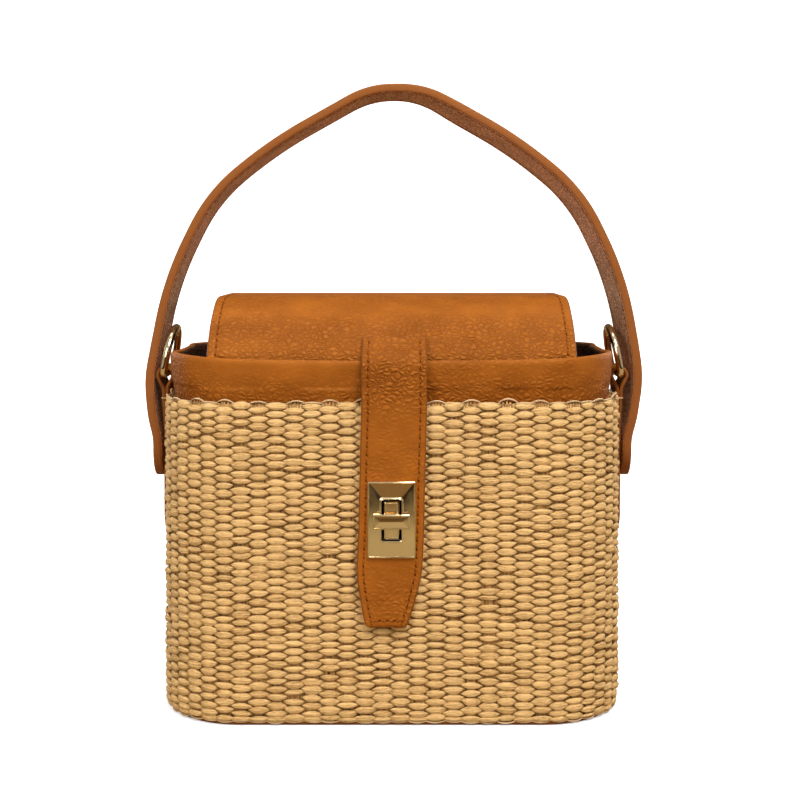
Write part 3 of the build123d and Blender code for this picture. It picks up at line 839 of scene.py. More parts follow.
def make_collar():
    """Leather collar: an outer face that flares a little, a rolled rim, and a facing inside."""
    top = COLLAR_HIGH[2]
    base = COLLAR_LOW[2]
    outside = np.array(
        [
            [4.5, -24.0], [4.3, -18.5], [3.95, -16.0], [3.4, -13.0], [2.95, -10.0], [2.65, -7.0],
            [2.45, -4.5], [2.35, -2.6], [2.45, -1.4], [2.75, -0.55], [3.25, -0.1], [3.85, 0.0],
            [4.45, -0.15], [4.9, -0.5],
        ]
    )
    outside = rounded_line(outside * MM + [0, top], 0.5, 4)
    rim = np.clip((outside[:, 0] - 4.2 * MM) / (0.5 * MM), 0, 1) * (outside[:, 1] > top - 2 * MM)
    grain = np.interp(outside[:, 1], [top - 13 * MM, top - 4 * MM], [0.7, 0.2])
    fields = {"rim": rim, "grain": grain}
    face = round_band("collar_face", outside, TAN, soft_sway(COLLAR_SWAY, 7), fields, collar_lift)
    settle(face, "bag", "leather", "collar")
    inside = np.array([[4.8, -0.45], [5.3, -0.75], [5.6, -1.4], [5.75, -3.0], [5.85, -9.0]]) * MM
    inside = np.vstack([inside + [0, top], [[5.9 * MM, base + 1 * MM]]])
    inside = rounded_line(inside, 0.5, 4)
    fields = {"grain": 0 * inside[:, 0] + 0.6}
    # The facing's near-black colour is painted shade, as if the inside of the collar lay in the bag's
    # shadow.
    facing = round_band("collar_facing", inside, SHADED_FACING, None, fields, collar_lift)
    settle(facing, "bag", "leather_inside")


def floor_rings(last):
    """Rings that carry a last ring towards the body's middle, as shares of its size."""
    return [last * [share, share, 1] for share in FLOOR_SHARES]


def make_base():
    """Leather base: its rounded edge carried round the body, and closed across above and below."""
    edge = np.array(
        [
            [6.0, 3.0], [2.6, 3.0], [2.0, 2.6], [1.7, 1.9], [1.65, 1.0], [1.9, 0.35], [2.6, 0.05],
            [5.0, 0.0],
        ]
    )
    profile = rounded_line(edge * MM, 0.45, 4)
    around = BAND_STEPS
    length = body_lengths(around)
    rings = [np.stack([*outline(length, inset)[:2], np.full(around, z)], -1) for inset, z in profile]
    rings += floor_rings(rings[-1])
    faces = tube_faces(len(rings), around, int(CORNER_MIDDLE * around))
    piece = make_piece("leather_base", np.stack(rings), faces, BASE_BROWN)
    settle(piece, "bag", "leather_edge", "base_panel")


def make_lining():
    """Cloth lining: a bag inside the walls, with slack folds and a flat floor."""
    top = LINING_HIGH[2]
    floor = LINING_LOW[2] + 0.8 * MM
    outer = HALF_WIDTH - LINING_HIGH[0]
    wall = np.linspace(top - 1 * MM, floor + 5 * MM, 24)
    inner = np.stack([np.full(len(wall), outer + 0.85 * MM), wall], -1)
    lip = np.array([[outer, floor], [outer, top - 0.6 * MM], [outer + 0.4 * MM, top]])
    foot = np.array([[outer + 1.6 * MM, floor + 1.5 * MM], [outer + 4 * MM, floor + 0.1 * MM]])
    profile = np.vstack([lip, inner, foot])
    around = LINING_STEPS
    length = body_lengths(around)
    slack = np.zeros(len(profile))
    slack[len(lip):-len(foot)] = np.sin(np.linspace(0, math.pi, len(wall)))
    turn = length / GIRTH * 2 * math.pi
    wave = 0.5 + 0.3 * np.sin(turn * 17) + 0.2 * np.sin(turn * 29 + 1)
    inset = profile[:, :1] + 0.5 * MM * slack[:, None] * wave[None]
    x, y, _, _ = outline(length[None] + 0 * inset, inset)
    rings = list(np.stack([x, y, profile[:, 1:] + 0 * x], -1))
    rings += floor_rings(rings[-1])
    faces = tube_faces(len(rings), around, int(CORNER_MIDDLE * around))[:, ::-1]
    piece = make_piece("lining_bag", np.stack(rings), faces, LINING)
    settle(piece, "bag", "lining_cloth", "lining")


# Leather strips


def across_places(half, seams=()):
    """Places across a strip from -1 to 1, closer at its rounded edges and at its seams."""
    steps = [share * EDGE_ROUND for share in (0, 0.1, 0.35, 0.7, 1.2)]
    for seam in seams:
        steps += [seam + offset * MM for offset in (-0.8, -0.35, 0, 0.35, 0.8)]
    inner = max(steps) / half
    middle = np.linspace(-(1 - inner), 1 - inner, max(5, int(2 * half / (3.5 * MM))))
    outer = 1 - np.array(sorted(steps)) / half
    return np.unique(np.round(np.concatenate([-outer, middle, outer]), 6))


def leather_strip(
    name, route, face, side, half, thickness, finish, seams=(), keep=None, flat_back=False, grain=0.5
):
    """A strip of leather with rounded edges, as a closed shell.

    A point is the route plus the side direction times its place across times the half width. With
    d the distance to the nearest edge and e the edge radius, the outer face drops by
    e (1 - sqrt(1 - (1 - d/e)^2)) along its normal, plus a groove at each seam. The inner face
    lies one thickness under it, square at its edges where another layer lies against it, and walls
    close the rim. Keep is a test on places that leaves holes, and grain is how deep the leather's
    grain is along the route.
    """
    half = np.broadcast_to(np.asarray(half, float), len(route))
    place = across_places(half.max(), seams)
    run = run_along(route)
    from_end = np.minimum(run, run[-1] - run)[:, None]
    from_side = half[:, None] * (1 - np.abs(place))[None]
    distance = np.minimum(from_side, from_end)
    near = 1 - np.clip(distance / EDGE_ROUND, 0, 1)
    drop = EDGE_ROUND * quarter_round(near)
    groove = sum(GROOVE_DEPTH * np.exp(-(((from_side - seam) / GROOVE_WIDTH) ** 2)) for seam in seams)
    side = np.broadcast_to(side, route.shape)
    spot = route[:, None] + side[:, None] * (half[:, None] * place)[..., None]
    outer = spot - face[:, None] * (drop + groove)[..., None]
    inner = spot - face[:, None] * (thickness - drop * (not flat_back))[..., None]
    rows, columns = drop.shape
    kept = np.ones((rows - 1, columns - 1), bool)
    if keep is not None:
        middle = (spot[1:, 1:] + spot[:-1, :-1]) / 2
        kept = keep(middle)
    shell = shell_faces(kept)
    rim = np.concatenate([near.ravel(), near.ravel()])
    points = np.concatenate([outer.reshape(-1, 3), inner.reshape(-1, 3)])
    depth = np.broadcast_to(np.asarray(grain, float), rows)[:, None] + 0 * near
    fields = {"rim": rim, "grain": np.concatenate([depth.ravel(), depth.ravel()])}
    return make_piece(name, points, shell, finish, fields, crisp=50)


def shell_faces(kept):
    """Faces of an outer grid, an inner grid behind it and the walls where a kept cell ends."""
    rows, columns = (size + 1 for size in kept.shape)
    index = np.arange(rows * columns).reshape(rows, columns)
    a = index[:-1, :-1][kept]
    b = index[1:, :-1][kept]
    c = index[1:, 1:][kept]
    d = index[:-1, 1:][kept]
    back = rows * columns
    faces = [np.stack([d, c, b, a], -1), np.stack([a, b, c, d], -1) + back]
    padded = np.pad(kept, 1)
    core = padded[1:-1, 1:-1]
    edges = (
        (core & ~padded[:-2, 1:-1], index[:-1, 1:], index[:-1, :-1]),
        (core & ~padded[2:, 1:-1], index[1:, :-1], index[1:, 1:]),
        (core & ~padded[1:-1, :-2], index[:-1, :-1], index[1:, :-1]),
        (core & ~padded[1:-1, 2:], index[1:, 1:], index[:-1, 1:]),
    )
    for where, start, end in edges:
        s = start[where]
        e = end[where]
        faces.append(np.stack([s, e, e + back, s + back], -1))
    return np.concatenate(faces)


def stitch_row(name, line, along, face, body, slot):
    """Thread stitches and their holes along a line of points.

    Each stitch is a closed tube of five rings whose middle line dips at both ends by u squared. Each
    hole is a small flat leaf in a dark colour, turned by a fixed angle to the line: painted shade for
    the hole and the thread's shadow beside it.
    """
    count = len(line)
    side = np.cross(face, along)
    u = np.linspace(-1, 1, 5)[None, :, None]
    angle = round_turn(6)[None, None, :]
    thick = STITCH_RADIUS * (1 - 0.35 * u**4)
    forward = 0.3 * STITCH_PITCH * u + 0 * angle
    sideways = thick * np.cos(angle) + 0.1 * MM * u
    raised = 0.05 * MM - STITCH_DIP * u**2 + thick * np.sin(angle)

    def lay(forward, sideways, raised):
        """Points at places along, across and above each spot of the line."""
        ahead = forward[..., None] * along[:, None, None]
        aside = sideways[..., None] * side[:, None, None]
        return line[:, None, None] + ahead + aside + raised[..., None] * face[:, None, None]

    points = lay(forward, sideways, raised)
    faces = copies(tube_faces(u.size, angle.size)[:, ::-1], u.size * angle.size, count)
    thread = make_piece(name, points, faces, THREAD)
    settle(thread, body, slot)
    # Dark leaves at the holes: painted shade.
    rings = np.array([0.04, 1.0])[None, :, None]
    long = rings * HOLE_HALF_LENGTH * np.cos(angle)
    wide = rings * HOLE_HALF_WIDTH * np.sin(angle)
    forward = 0.5 * STITCH_PITCH + long * math.cos(HOLE_TURN) - wide * math.sin(HOLE_TURN)
    sideways = long * math.sin(HOLE_TURN) + wide * math.cos(HOLE_TURN)
    raised = np.array([0.0, 0.08])[None, :, None] * MM + 0 * angle
    points = lay(forward, sideways, raised)
    leaf = grid_faces(rings.size, angle.size, wrap_columns=True)
    faces = copies(leaf, rings.size * angle.size, count)
    holes = make_piece(f"{name}_holes", points, faces, HOLE_SHADE)
    settle(holes, body, slot)


def seam_along(route, face, side, half, inset, sign, start, end):
    """Stitch places along a strip: points, directions and normals, inset from one edge."""
    half = np.broadcast_to(np.asarray(half, float), len(route))
    line = route + side * (sign * (half - inset))[:, None]
    places = np.arange(start, line_length(line) - end, STITCH_PITCH)
    spots = spaced(line, places)
    along = unit(spaced(line, places + 0.5 * MM) - spaced(line, places - 0.5 * MM))
    normals = spaced(line, places, face)
    return spots - normals * STITCH_SINK, along, normals


def straight_row(name, x, y, z, way, body):
    """A row of stitches along X on a leather face that looks along Y, forwards or backwards."""
    line = np.stack(np.broadcast_arrays(x, y, z), -1)
    stitch_row(name, line, RIGHT + 0 * line, np.array([0, way, 0]) + 0 * line, body, "leather")


def yz_space(points):
    """Points of the YZ plane in space."""
    return np.stack([0 * points[:, 0], points[:, 0], points[:, 1]], -1)


def plane_strip(route, count):
    """A route of the YZ plane spaced evenly, in space, with its normals to the right of it."""
    even = spaced(route, np.linspace(0, line_length(route), count))
    return yz_space(even), yz_space(-left_of(directions(even)))


def flap_profile():
    """The flap's outer face in the YZ plane, from its back seam over the top to its tucked front."""
    back = COLLAR_HIGH[1]
    front = FLAP_LOW[1]
    top = FLAP_HIGH[2]
    rim = COLLAR_HIGH[2]
    depth = back - front
    rise = top - rim
    return np.array(
        [
            [back + 2.1 * MM, rim - 11 * MM],
            [back + 2.0 * MM, rim - 0.5 * MM],
            [back, rim + 5 * MM],
            [back - 0.6 * MM, top - 6 * MM],
            [back - 8 * MM, top],
            [front + 0.308 * depth, top - 0.2 * MM],
            [front + 0.1 * depth, rim + 0.5 * rise],
            [front, rim - 0.2 * MM],
            [front + 0.2 * MM, FLAP_LOW[2]],
        ]
    )


def make_flap():
    """The flap's sheet, narrower where it is tucked in, and bent at its back seam."""
    route, face = plane_strip(rounded_line(flap_profile(), 0.47, 10), 150)
    full = FLAP_HIGH[0]
    tucked = (route[:, 1] < 0) & (route[:, 2] < COLLAR_HIGH[2] - 0.6 * MM)
    end_run = np.clip((route[:, 2] - FLAP_LOW[2]) / FLAP_CORNER, 0, 1)
    half = np.where(tucked, full - FLAP_TUCK - FLAP_CORNER * quarter_round(1 - end_run), full)
    front = np.clip((0.58 * FLAP_LOW[1] - route[:, 1]) / (0.18 * HALF_DEPTH), 0, 1)
    flap = leather_strip(
        "flap_sheet", route, face, -RIGHT, half, FLAP_THICKNESS, TAN, (FLAP_SEAM,), grain=0.1 + 0.9 * front
    )
    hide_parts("flap")
    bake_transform(flap)
    shown = ~tucked & ((route[:, 1] < 0) | (route[:, 2] > HINGE[2] + 8 * MM))
    for title, sign in (("flap_stitches_left", 1), ("flap_stitches_right", -1)):
        row = seam_along(route[shown], face[shown], -RIGHT, full, FLAP_SEAM, sign, 2 * MM, 2 * MM)
        stitch_row(title, *row, "flap", "leather")
    seam_z = COLLAR_HIGH[2] - FLAP_SEAM_DROP
    x = np.arange(-full + 5 * MM, full - 5 * MM, STITCH_PITCH)
    y = np.interp(seam_z, route[:20, 2], route[:20, 1])
    straight_row("flap_back_stitches", x, y, seam_z, 1.0, "bag")


def strap_route():
    """The closing strap's outer face in the YZ plane, from its sewn end to its free end."""
    profile = flap_profile()
    foot = profile[7]
    slope = (profile[6] - foot) / np.linalg.norm(profile[6] - foot)
    lift = COLLAR_HIGH[2] + 0.7 * MM
    leaves = foot + slope * (lift - foot[1]) / slope[1]
    out = np.array([-slope[1], slope[0]])
    hang = STRAP_LOW[1]
    thick = STRAP_THICKNESS
    return np.array(
        [
            leaves + slope * 7.4 * MM + out * thick,
            leaves + slope * 2.2 * MM + out * thick * 1.05,
            [hang + 2.6 * MM, lift + thick * 0.72],
            [hang, lift - 2.6 * MM],
            [hang - 0.1 * MM, LOCK_Z],
            [hang, STRAP_LOW[2]],
        ]
    )


def make_closing_strap():
    """Closing strap with a slot for the lock, tapered at its free end, and sewn along its edges."""
    route, face = plane_strip(rounded_line(strap_route(), 0.48, 10), 170)
    rise = route[:, 2] - STRAP_LOW[2]
    hang = (LOCK_Z - route[:, 2]) / (LOCK_Z - STRAP_LOW[2])
    route[:, 0] = STRAP_SWAY * (0.5 * np.clip(-hang, 0, 1) ** 1.2 - np.clip(hang, 0, 1) ** 1.2)
    full = STRAP_HIGH[0]
    ease = np.clip(rise / STRAP_TAPER, 0, 1)
    ease = 1 - (1 - ease) ** 1.35
    half = STRAP_END_HALF + (full - STRAP_END_HALF) * ease
    end_run = np.clip(rise / STRAP_CORNER_RUN, 0, 1)
    half = half - STRAP_CORNER * quarter_round(1 - end_run)

    def keep(middle):
        """Which cells lie outside the hole for the lock."""
        near_x = np.abs(middle[..., 0]) < 1.5 * SLOT_HALF_X
        near_z = np.abs(middle[..., 2] - LOCK_Z) < 1.2 * SLOT_HALF_Z
        return ~(near_x & near_z & (middle[..., 1] < -HALF_DEPTH))

    bend = np.clip((route[:, 2] - COLLAR_HIGH[2] + 22 * MM) / (16 * MM), 0, 1)
    grain = 0.22 + 0.7 * bend
    strap = leather_strip(
        "strap_sheet", route, face, -RIGHT, half, STRAP_THICKNESS, TAN, (STRAP_SEAM,), keep, grain=grain
    )
    settle(strap, "flap", "leather", "closing_strap")
    for title, sign in (("strap_stitches_left", 1), ("strap_stitches_right", -1)):
        row = seam_along(route, face, -RIGHT, half, STRAP_SEAM, sign, 1.5 * MM, 3.2 * MM)
        stitch_row(title, *row, "flap", "leather")
    x = np.array([-1.5, -0.5, 0.5, 1.5]) * STRAP_END_PITCH - 0.9 * STRAP_SWAY
    seam_z = STRAP_LOW[2] + STRAP_SEAM + 0.3 * MM
    straight_row("strap_stitches_end", x, STRAP_LOW[1] - 0.02 * MM, seam_z, -1.0, "flap")


def handle_space(points):
    """Points of the handle's plane, which leans back about the rivets, in space."""
    up = np.array([0, math.sin(HANDLE_LEAN), math.cos(HANDLE_LEAN)])
    return points[:, :1] * RIGHT + points[:, 1:] * up + RIVET_Z * UP


def handle_arch():
    """The line where the handle's two layers meet, from the left tail over the top to the right.

    It leans to the right with the square of the height's share, and the right side hangs out a
    little, as a sine of that share.
    """
    foot = TAB_FACE + 0.3 * MM + HANDLE_LINING_LAYER
    rise = (HANDLE_HIGH[2] - RIVET_Z) - HANDLE_LAYER - 0.6 * MM
    bulge = RING_BAR[2] - RIVET_Z - 2.6 * MM
    right = [
        (foot, -10.4 * MM),
        (foot, 5.4 * MM),
        (foot + 2.2 * MM, 13.2 * MM),
        (foot + 3.9 * MM, bulge),
        (0.963 * foot, bulge + 0.343 * (rise - bulge)),
        (0.788 * foot, bulge + 0.636 * (rise - bulge)),
        (0.519 * foot, bulge + 0.813 * (rise - bulge)),
        (0.11 * foot, rise),
    ]
    left = [(-x, z) for x, z in right]
    line = np.array(left + right[::-1])
    slack = np.clip(line[:, 1] / rise, 0, 1)
    line[:, 0] += HANDLE_SLACK * (line[:, 0] > 0) * np.sin(math.pi * slack**0.9)
    line[:, 0] += HANDLE_SHIFT * slack**2
    return line


def round_ends(run, half):
    """Half widths of a strip with round ends: sqrt(r^2 - (r - d)^2) at d from an end."""
    from_end = np.minimum(run, run[-1] - run) + 0.02 * half
    return half * np.sqrt(1 - (1 - np.clip(from_end / half, 0, 1)) ** 2)


def tail_places(length, half, count):
    """Places along a strip, closer at its round ends."""
    tail = half * (1 - np.cos(np.linspace(0, math.pi / 2, 14)))
    middle = np.linspace(half, length - half, count)[1:-1]
    return np.concatenate([tail, middle, length - tail[::-1]])


def make_handle():
    """The handle: an outer strip and a lining strip on one arch, sewn along both edges.

    The right side is turned about its own line, by a share that rises smoothly from the tail and
    fades out over the top.
    """
    smooth = rounded_line(handle_arch(), 0.46, 10)
    length = line_length(smooth)
    even = spaced(smooth, tail_places(length, HANDLE_HALF, 260))
    side = np.array([0, -math.cos(HANDLE_LEAN), math.sin(HANDLE_LEAN)])
    outward = handle_space(left_of(directions(even))) - handle_space(np.zeros((1, 2)))
    middle = handle_space(even)
    rise = smooth_step((even[:, 1] - 12 * MM) / (34 * MM))
    aside = smooth_step(even[:, 0] / (30 * MM))
    twist = HANDLE_TWIST * (rise * aside)[:, None]
    side = side * np.cos(twist) + outward * np.sin(twist)
    outward = np.cross(side, np.cross(outward, side))
    half = round_ends(run_along(even), HANDLE_HALF)
    layers = (
        ("handle_outer", HANDLE_LAYER, 1, TAN, "leather", "handle_strap", 0.7),
        ("handle_inner", HANDLE_LINING_LAYER, -1, INSIDE_TAN, "leather_inside", "handle_lining", 1.0),
    )
    for title, thickness, sign, finish, slot, node, grain in layers:
        face = sign * outward
        route = middle + face * thickness
        strip = leather_strip(
            title, route, face, sign * side, half, thickness, finish, (HANDLE_SEAM,),
            flat_back=True, grain=grain,
        )
        settle(strip, "handle", slot, node)
        for name, edge in (("front", 1), ("back", -1)):
            row = seam_along(route, face, side, half, HANDLE_SEAM, edge, 12 * MM, 12 * MM)
            stitch_row(f"{title}_stitches_{name}", *row, "handle", slot)


def make_side_tabs():
    """Side tabs: a strip folded round the ring's bar, both ends laid together down the side."""
    bar_x, bar_z = RING_BAR[0], RING_BAR[2]
    throat = bar_z - TAB_THROAT_DROP
    gap = 0.06 * MM
    turn = np.radians(np.linspace(200, -20, 15))
    loop = np.stack([bar_x + TAB_EYE * np.cos(turn), bar_z - 0.5 * MM + TAB_EYE * np.sin(turn)], -1)
    bends = [[TAB_FOLD, TAB_LOW[2]], [TAB_FOLD, RIVET_Z + 7 * MM], [TAB_FOLD + 0.9 * MM, throat]]
    first = np.array(bends) - [gap / 2, 0]
    last = first[::-1] + [gap, 0]
    route = rounded_line(np.vstack([first, loop, last]), 0.3, 5)
    even = spaced(route, tail_places(line_length(route), TAB_HALF, 150))
    out = left_of(directions(even))
    width = round_ends(run_along(even), TAB_HALF)
    side = np.array([0, -1.0, 0])
    for name, mirror in (("right", 1), ("left", -1)):
        flip = np.array([mirror, 1, 1])
        face = np.stack([out[:, 0], 0 * out[:, 0], out[:, 1]], -1)
        line = np.stack([even[:, 0], 0 * even[:, 0], even[:, 1]], -1) + face * TAB_LAYER
        strip = leather_strip(
            f"side_tab_sheet_{name}", line * flip, face * flip, mirror * side, width, TAB_LAYER, TAN
        )
        settle(strip, "bag", "leather", f"side_tab_{name}")
        tie_thread(f"tab_thread_{name}", flip, bar_z - TIE_DROP)


def tie_thread(name, flip, height):
    """A pale thread that ties the side tab to the weave, as a tube bent round the tab's edge."""
    outer = TAB_FACE + 0.9 * MM
    inner = HALF_WIDTH - 1.2 * MM
    edge = -(TAB_HALF + 0.1 * MM)
    bends = [[inner, edge], [outer - 0.2 * MM, edge - 0.1 * MM], [outer, edge + 3 * MM]]
    plan = rounded_line(bends, 0.4, 6)
    out = -left_of(directions(plan))
    angle = round_turn(8)
    across = plan[:, None] + TIE_RADIUS * np.cos(angle)[None, :, None] * out[:, None]
    rise = height + TIE_RADIUS * np.sin(angle)[None] + 0 * across[..., 0]
    points = np.concatenate([across, rise[..., None]], -1) * flip
    faces = tube_faces(len(plan), angle.size)
    if flip[0] < 0:
        faces = faces[:, ::-1]
    settle(make_piece(name, points, faces, PALE_THREAD), "bag", "raffia")


# Metal pieces


def ring_line(count):
    """The D-ring's middle line in its own plane: a bar with round corners under a half circle."""
    half_turn = np.linspace(0, math.pi, 60)
    arc = np.stack([RING_BOW * np.cos(half_turn), RING_LIMB + RING_BOW * np.sin(half_turn)], -1)
    turn = np.linspace(math.pi, 1.5 * math.pi, 12)
    left = RING_CORNER * np.stack([1 + np.cos(turn), 1 + np.sin(turn)], -1) - [RING_BOW, 0]
    right = left[::-1] * [-1, 1]
    loop = np.vstack([arc, left, right, arc[:1]])
    return spaced(loop, np.linspace(0, line_length(loop), count + 1)[:-1])


def make_rings():
    """The D-rings: a round wire carried round each ring's middle line."""
    line = ring_line(150)
    out = -left_of(unit(np.roll(line, -1, axis=0) - np.roll(line, 1, axis=0)))
    angle = round_turn(20)
    flat = line[:, None] + RING_WIRE * np.cos(angle)[None, :, None] * out[:, None]
    depth = RING_WIRE * np.sin(angle)[None] + 0 * flat[..., 0]
    up = np.array([-math.sin(RING_LEAN), 0, math.cos(RING_LEAN)])
    normal = np.array([math.cos(RING_LEAN), 0, math.sin(RING_LEAN)])
    along = np.array([0, 1.0, 0])
    points = RING_BAR + flat[..., :1] * along + flat[..., 1:] * up + depth[..., None] * normal
    faces = grid_faces(len(line), angle.size, wrap_rows=True, wrap_columns=True)
    for name, mirror in (("right", 1), ("left", -1)):
        turned = faces[:, ::-1] if mirror < 0 else faces
        ring = make_piece(f"ring_wire_{name}", points * [mirror, 1, 1], turned, GOLD)
        settle(ring, f"ring_{name}", "gold_metal", f"d_ring_{name}")


def rectangle_rings(half_x, half_z, corner, profile, centre_z=LOCK_Z):
    """Rounded rectangles stacked along Y, one for each (inset, y) point of a profile."""
    turn = np.linspace(0, math.pi / 2, 6)
    angle = (np.arange(4)[:, None] * math.pi / 2 + turn[None]).ravel()
    quarter = np.repeat(np.arange(4), 6)
    sign_x = np.array([1, -1, -1, 1])[quarter]
    sign_z = np.array([1, 1, -1, -1])[quarter]
    rings = []
    for inset, y in profile:
        radius = max(corner - inset, LEAST_CORNER)
        x = sign_x * max(half_x - inset - radius, LEAST_RUN) + radius * np.cos(angle)
        z = centre_z + sign_z * max(half_z - inset - radius, LEAST_RUN) + radius * np.sin(angle)
        rings.append(np.stack([x, 0 * x + y, z], -1))
    return np.stack(rings)


def metal_piece(name, groups, body, *node, finish=GOLD):
    """A metal piece made of groups of stacked rings, each joined back to its start or capped."""
    points = []
    faces = []
    count = 0
    for rings, joined in groups:
        points.append(rings.reshape(-1, 3))
        rows, columns = rings.shape[:2]
        if joined:
            faces.append(grid_faces(rows, columns, wrap_rows=True, wrap_columns=True) + count)
        else:
            faces.append(tube_faces(rows, columns) + count)
        count += rows * columns
    piece = make_piece(name, np.concatenate(points), np.concatenate(faces)[:, ::-1], finish, crisp=34)
    return settle(piece, body, "gold_metal", *node)


def make_lock_plate():
    """The lock's plate: a thin rim, four sloping faces up to the slot, and a rounded slot frame."""
    half_x = PLATE_HIGH[0]
    half_z = (PLATE_HIGH[2] - PLATE_LOW[2]) / 2
    back = PLATE_HIGH[1]
    front = PLATE_LOW[1]
    face = back - PLATE_THICKNESS
    outside = [
        (0, back), (0, face + 0.35 * MM), (0.1 * MM, face + 0.12 * MM), (0.3 * MM, face),
        (0.46 * MM, face + 0.02 * MM), (0.56 * MM, face + 0.2 * MM), (0.64 * MM, face + 0.24 * MM),
        (0.72 * MM, face + 0.23 * MM),
    ]
    slot = [
        (-0.94 * MM, face - 0.3 * MM), (-0.86 * MM, face - 0.31 * MM), (-0.7 * MM, face - 0.4 * MM),
        (-0.6 * MM, front + 0.22 * MM),
        (-0.42 * MM, front + 0.04 * MM), (-0.22 * MM, front), (-0.06 * MM, front + 0.08 * MM),
        (0, front + 0.3 * MM), (0, back),
    ]
    rings = [
        rectangle_rings(half_x, half_z, PLATE_CORNER, outside),
        rectangle_rings(SLOT_HALF_X, SLOT_HALF_Z, SLOT_CORNER, slot),
    ]
    metal_piece("lock_plate_face", [(np.concatenate(rings), True)], "flap", "lock_plate")


def make_lock_boss():
    """The lock's boss: a flange against the weave, a rimmed block in the slot, and two flat prongs."""
    front = PLATE_LOW[1] - BOSS_STAND
    flange_back = LOCK_BASE_LOW[1] + (-front - HALF_DEPTH) + 1.3 * MM
    flange_front = flange_back - FLANGE_THICKNESS
    flange_x = LOCK_BASE_HIGH[0]
    flange_z = (LOCK_BASE_HIGH[2] - LOCK_BASE_LOW[2]) / 2
    prong_back = LOCK_BASE_HIGH[1]
    flange = [
        (flange_x - CLOSED_HALF, flange_back), (0.2 * MM, flange_back), (0, flange_back - 0.2 * MM),
        (0, flange_front + 0.2 * MM), (0.2 * MM, flange_front), (flange_x - CLOSED_HALF, flange_front),
    ]
    block = [
        (-0.1 * MM, flange_front), (0, flange_front - 0.1 * MM), (0, front + 0.3 * MM),
        (0.12 * MM, front + 0.06 * MM), (0.3 * MM, front), (0.5 * MM, front + 0.04 * MM),
        (0.6 * MM, front + 0.35 * MM), (0.68 * MM, front + 0.4 * MM), (0.76 * MM, front + 0.4 * MM),
        (BOSS_HALF_X - CLOSED_HALF, front + 0.36 * MM),
    ]
    prong = [(0.4 * MM, prong_back), (0, prong_back), (0, flange_back)]
    shift = BOSS_HALF_Z + (flange_z - BOSS_HALF_Z) / 2
    groups = [(rectangle_rings(flange_x, flange_z, FLANGE_CORNER, flange), False)]
    for place in (LOCK_Z - shift, LOCK_Z + shift):
        rings = rectangle_rings(PRONG_HALF_X, PRONG_HALF_Z, PRONG_CORNER, prong, place)
        groups.append((rings, False))
    # The flange's near-black metal is painted shade, so the gaps round the block in the slot read dark.
    metal_piece("lock_flange", groups, "bag", finish=SLOT_SHADE_METAL)
    boss = rectangle_rings(BOSS_HALF_X, BOSS_HALF_Z, BOSS_CORNER, block)
    metal_piece("lock_boss", [(boss, False)], "bag", "lock_base")


def make_turn_bar():
    """The lock's bar: a raised rim round a low ridge, with its spindle behind."""
    half_x = BAR_HIGH[0]
    half_z = (BAR_HIGH[2] - BAR_LOW[2]) / 2
    front = BAR_LOW[1]
    back = front + BAR_THICKNESS
    grip = [
        (half_z - CLOSED_HALF, back), (0.25 * MM, back), (0, back - 0.25 * MM), (0, front + 0.4 * MM),
        (0.1 * MM, front + 0.12 * MM), (0.3 * MM, front), (0.5 * MM, front + 0.03 * MM),
        (0.58 * MM, front + 0.28 * MM), (0.66 * MM, front + 0.32 * MM), (0.74 * MM, front + 0.31 * MM),
        (half_z - CLOSED_HALF, front + 0.1 * MM),
    ]
    spindle = [(0, BAR_HIGH[1]), (0, back - 0.2 * MM)]
    groups = [
        (rectangle_rings(half_x, half_z, BAR_CORNER, grip), False),
        (rectangle_rings(SPINDLE_HALF, SPINDLE_HALF, SPINDLE_HALF, spindle), False),
    ]
    metal_piece("turn_bar_grip", groups, "turn_bar", "turn_bar")


def dress_solids():
    """The solids that stay in view, or are hidden inside, get their own finishes."""
    finishes = {
        "inner_wall": BOARD, "lock_washer": STEEL, "lock_plate_washer": STEEL,
        "handle_rivet_right": STEEL, "handle_rivet_left": STEEL,
    }
    for node, finish in finishes.items():
        mesh = frame["nodes"][node].data
        mesh.materials.clear()
        mesh.materials.append(finish)


# Studio


FLOOR_HALF = 6.0
FLOOR_BACK = 1.6
FLOOR_BEND = 0.6
FLOOR_TOP = 5.0
WHITE = (1.0, 1.0, 1.0, 1.0)
LIGHT_AIM = np.array([0, 0, 0.1])
LIGHTS = (
    ("key", (0.3, -0.75, 1.15), 0.5, 15.0),
    ("fill", (-0.6, -1.2, 0.6), 0.7, 7.0),
    ("top", (0.0, 0.1, 1.4), 0.7, 4.0),
    ("back_left", (-1.2, 0.9, 0.6), 0.7, 7.0),
    ("back_right", (1.2, 0.9, 0.6), 0.7, 7.0),
)
CAMERA_PLACE = (3.15 * MM, -559.4 * MM, 178.55 * MM)
CAMERA_TURN = math.radians(90 - 1.33)
CAMERA_LENS = 61.45
CAMERA_SENSOR = 36.0
CAMERA_SHIFT = -0.145


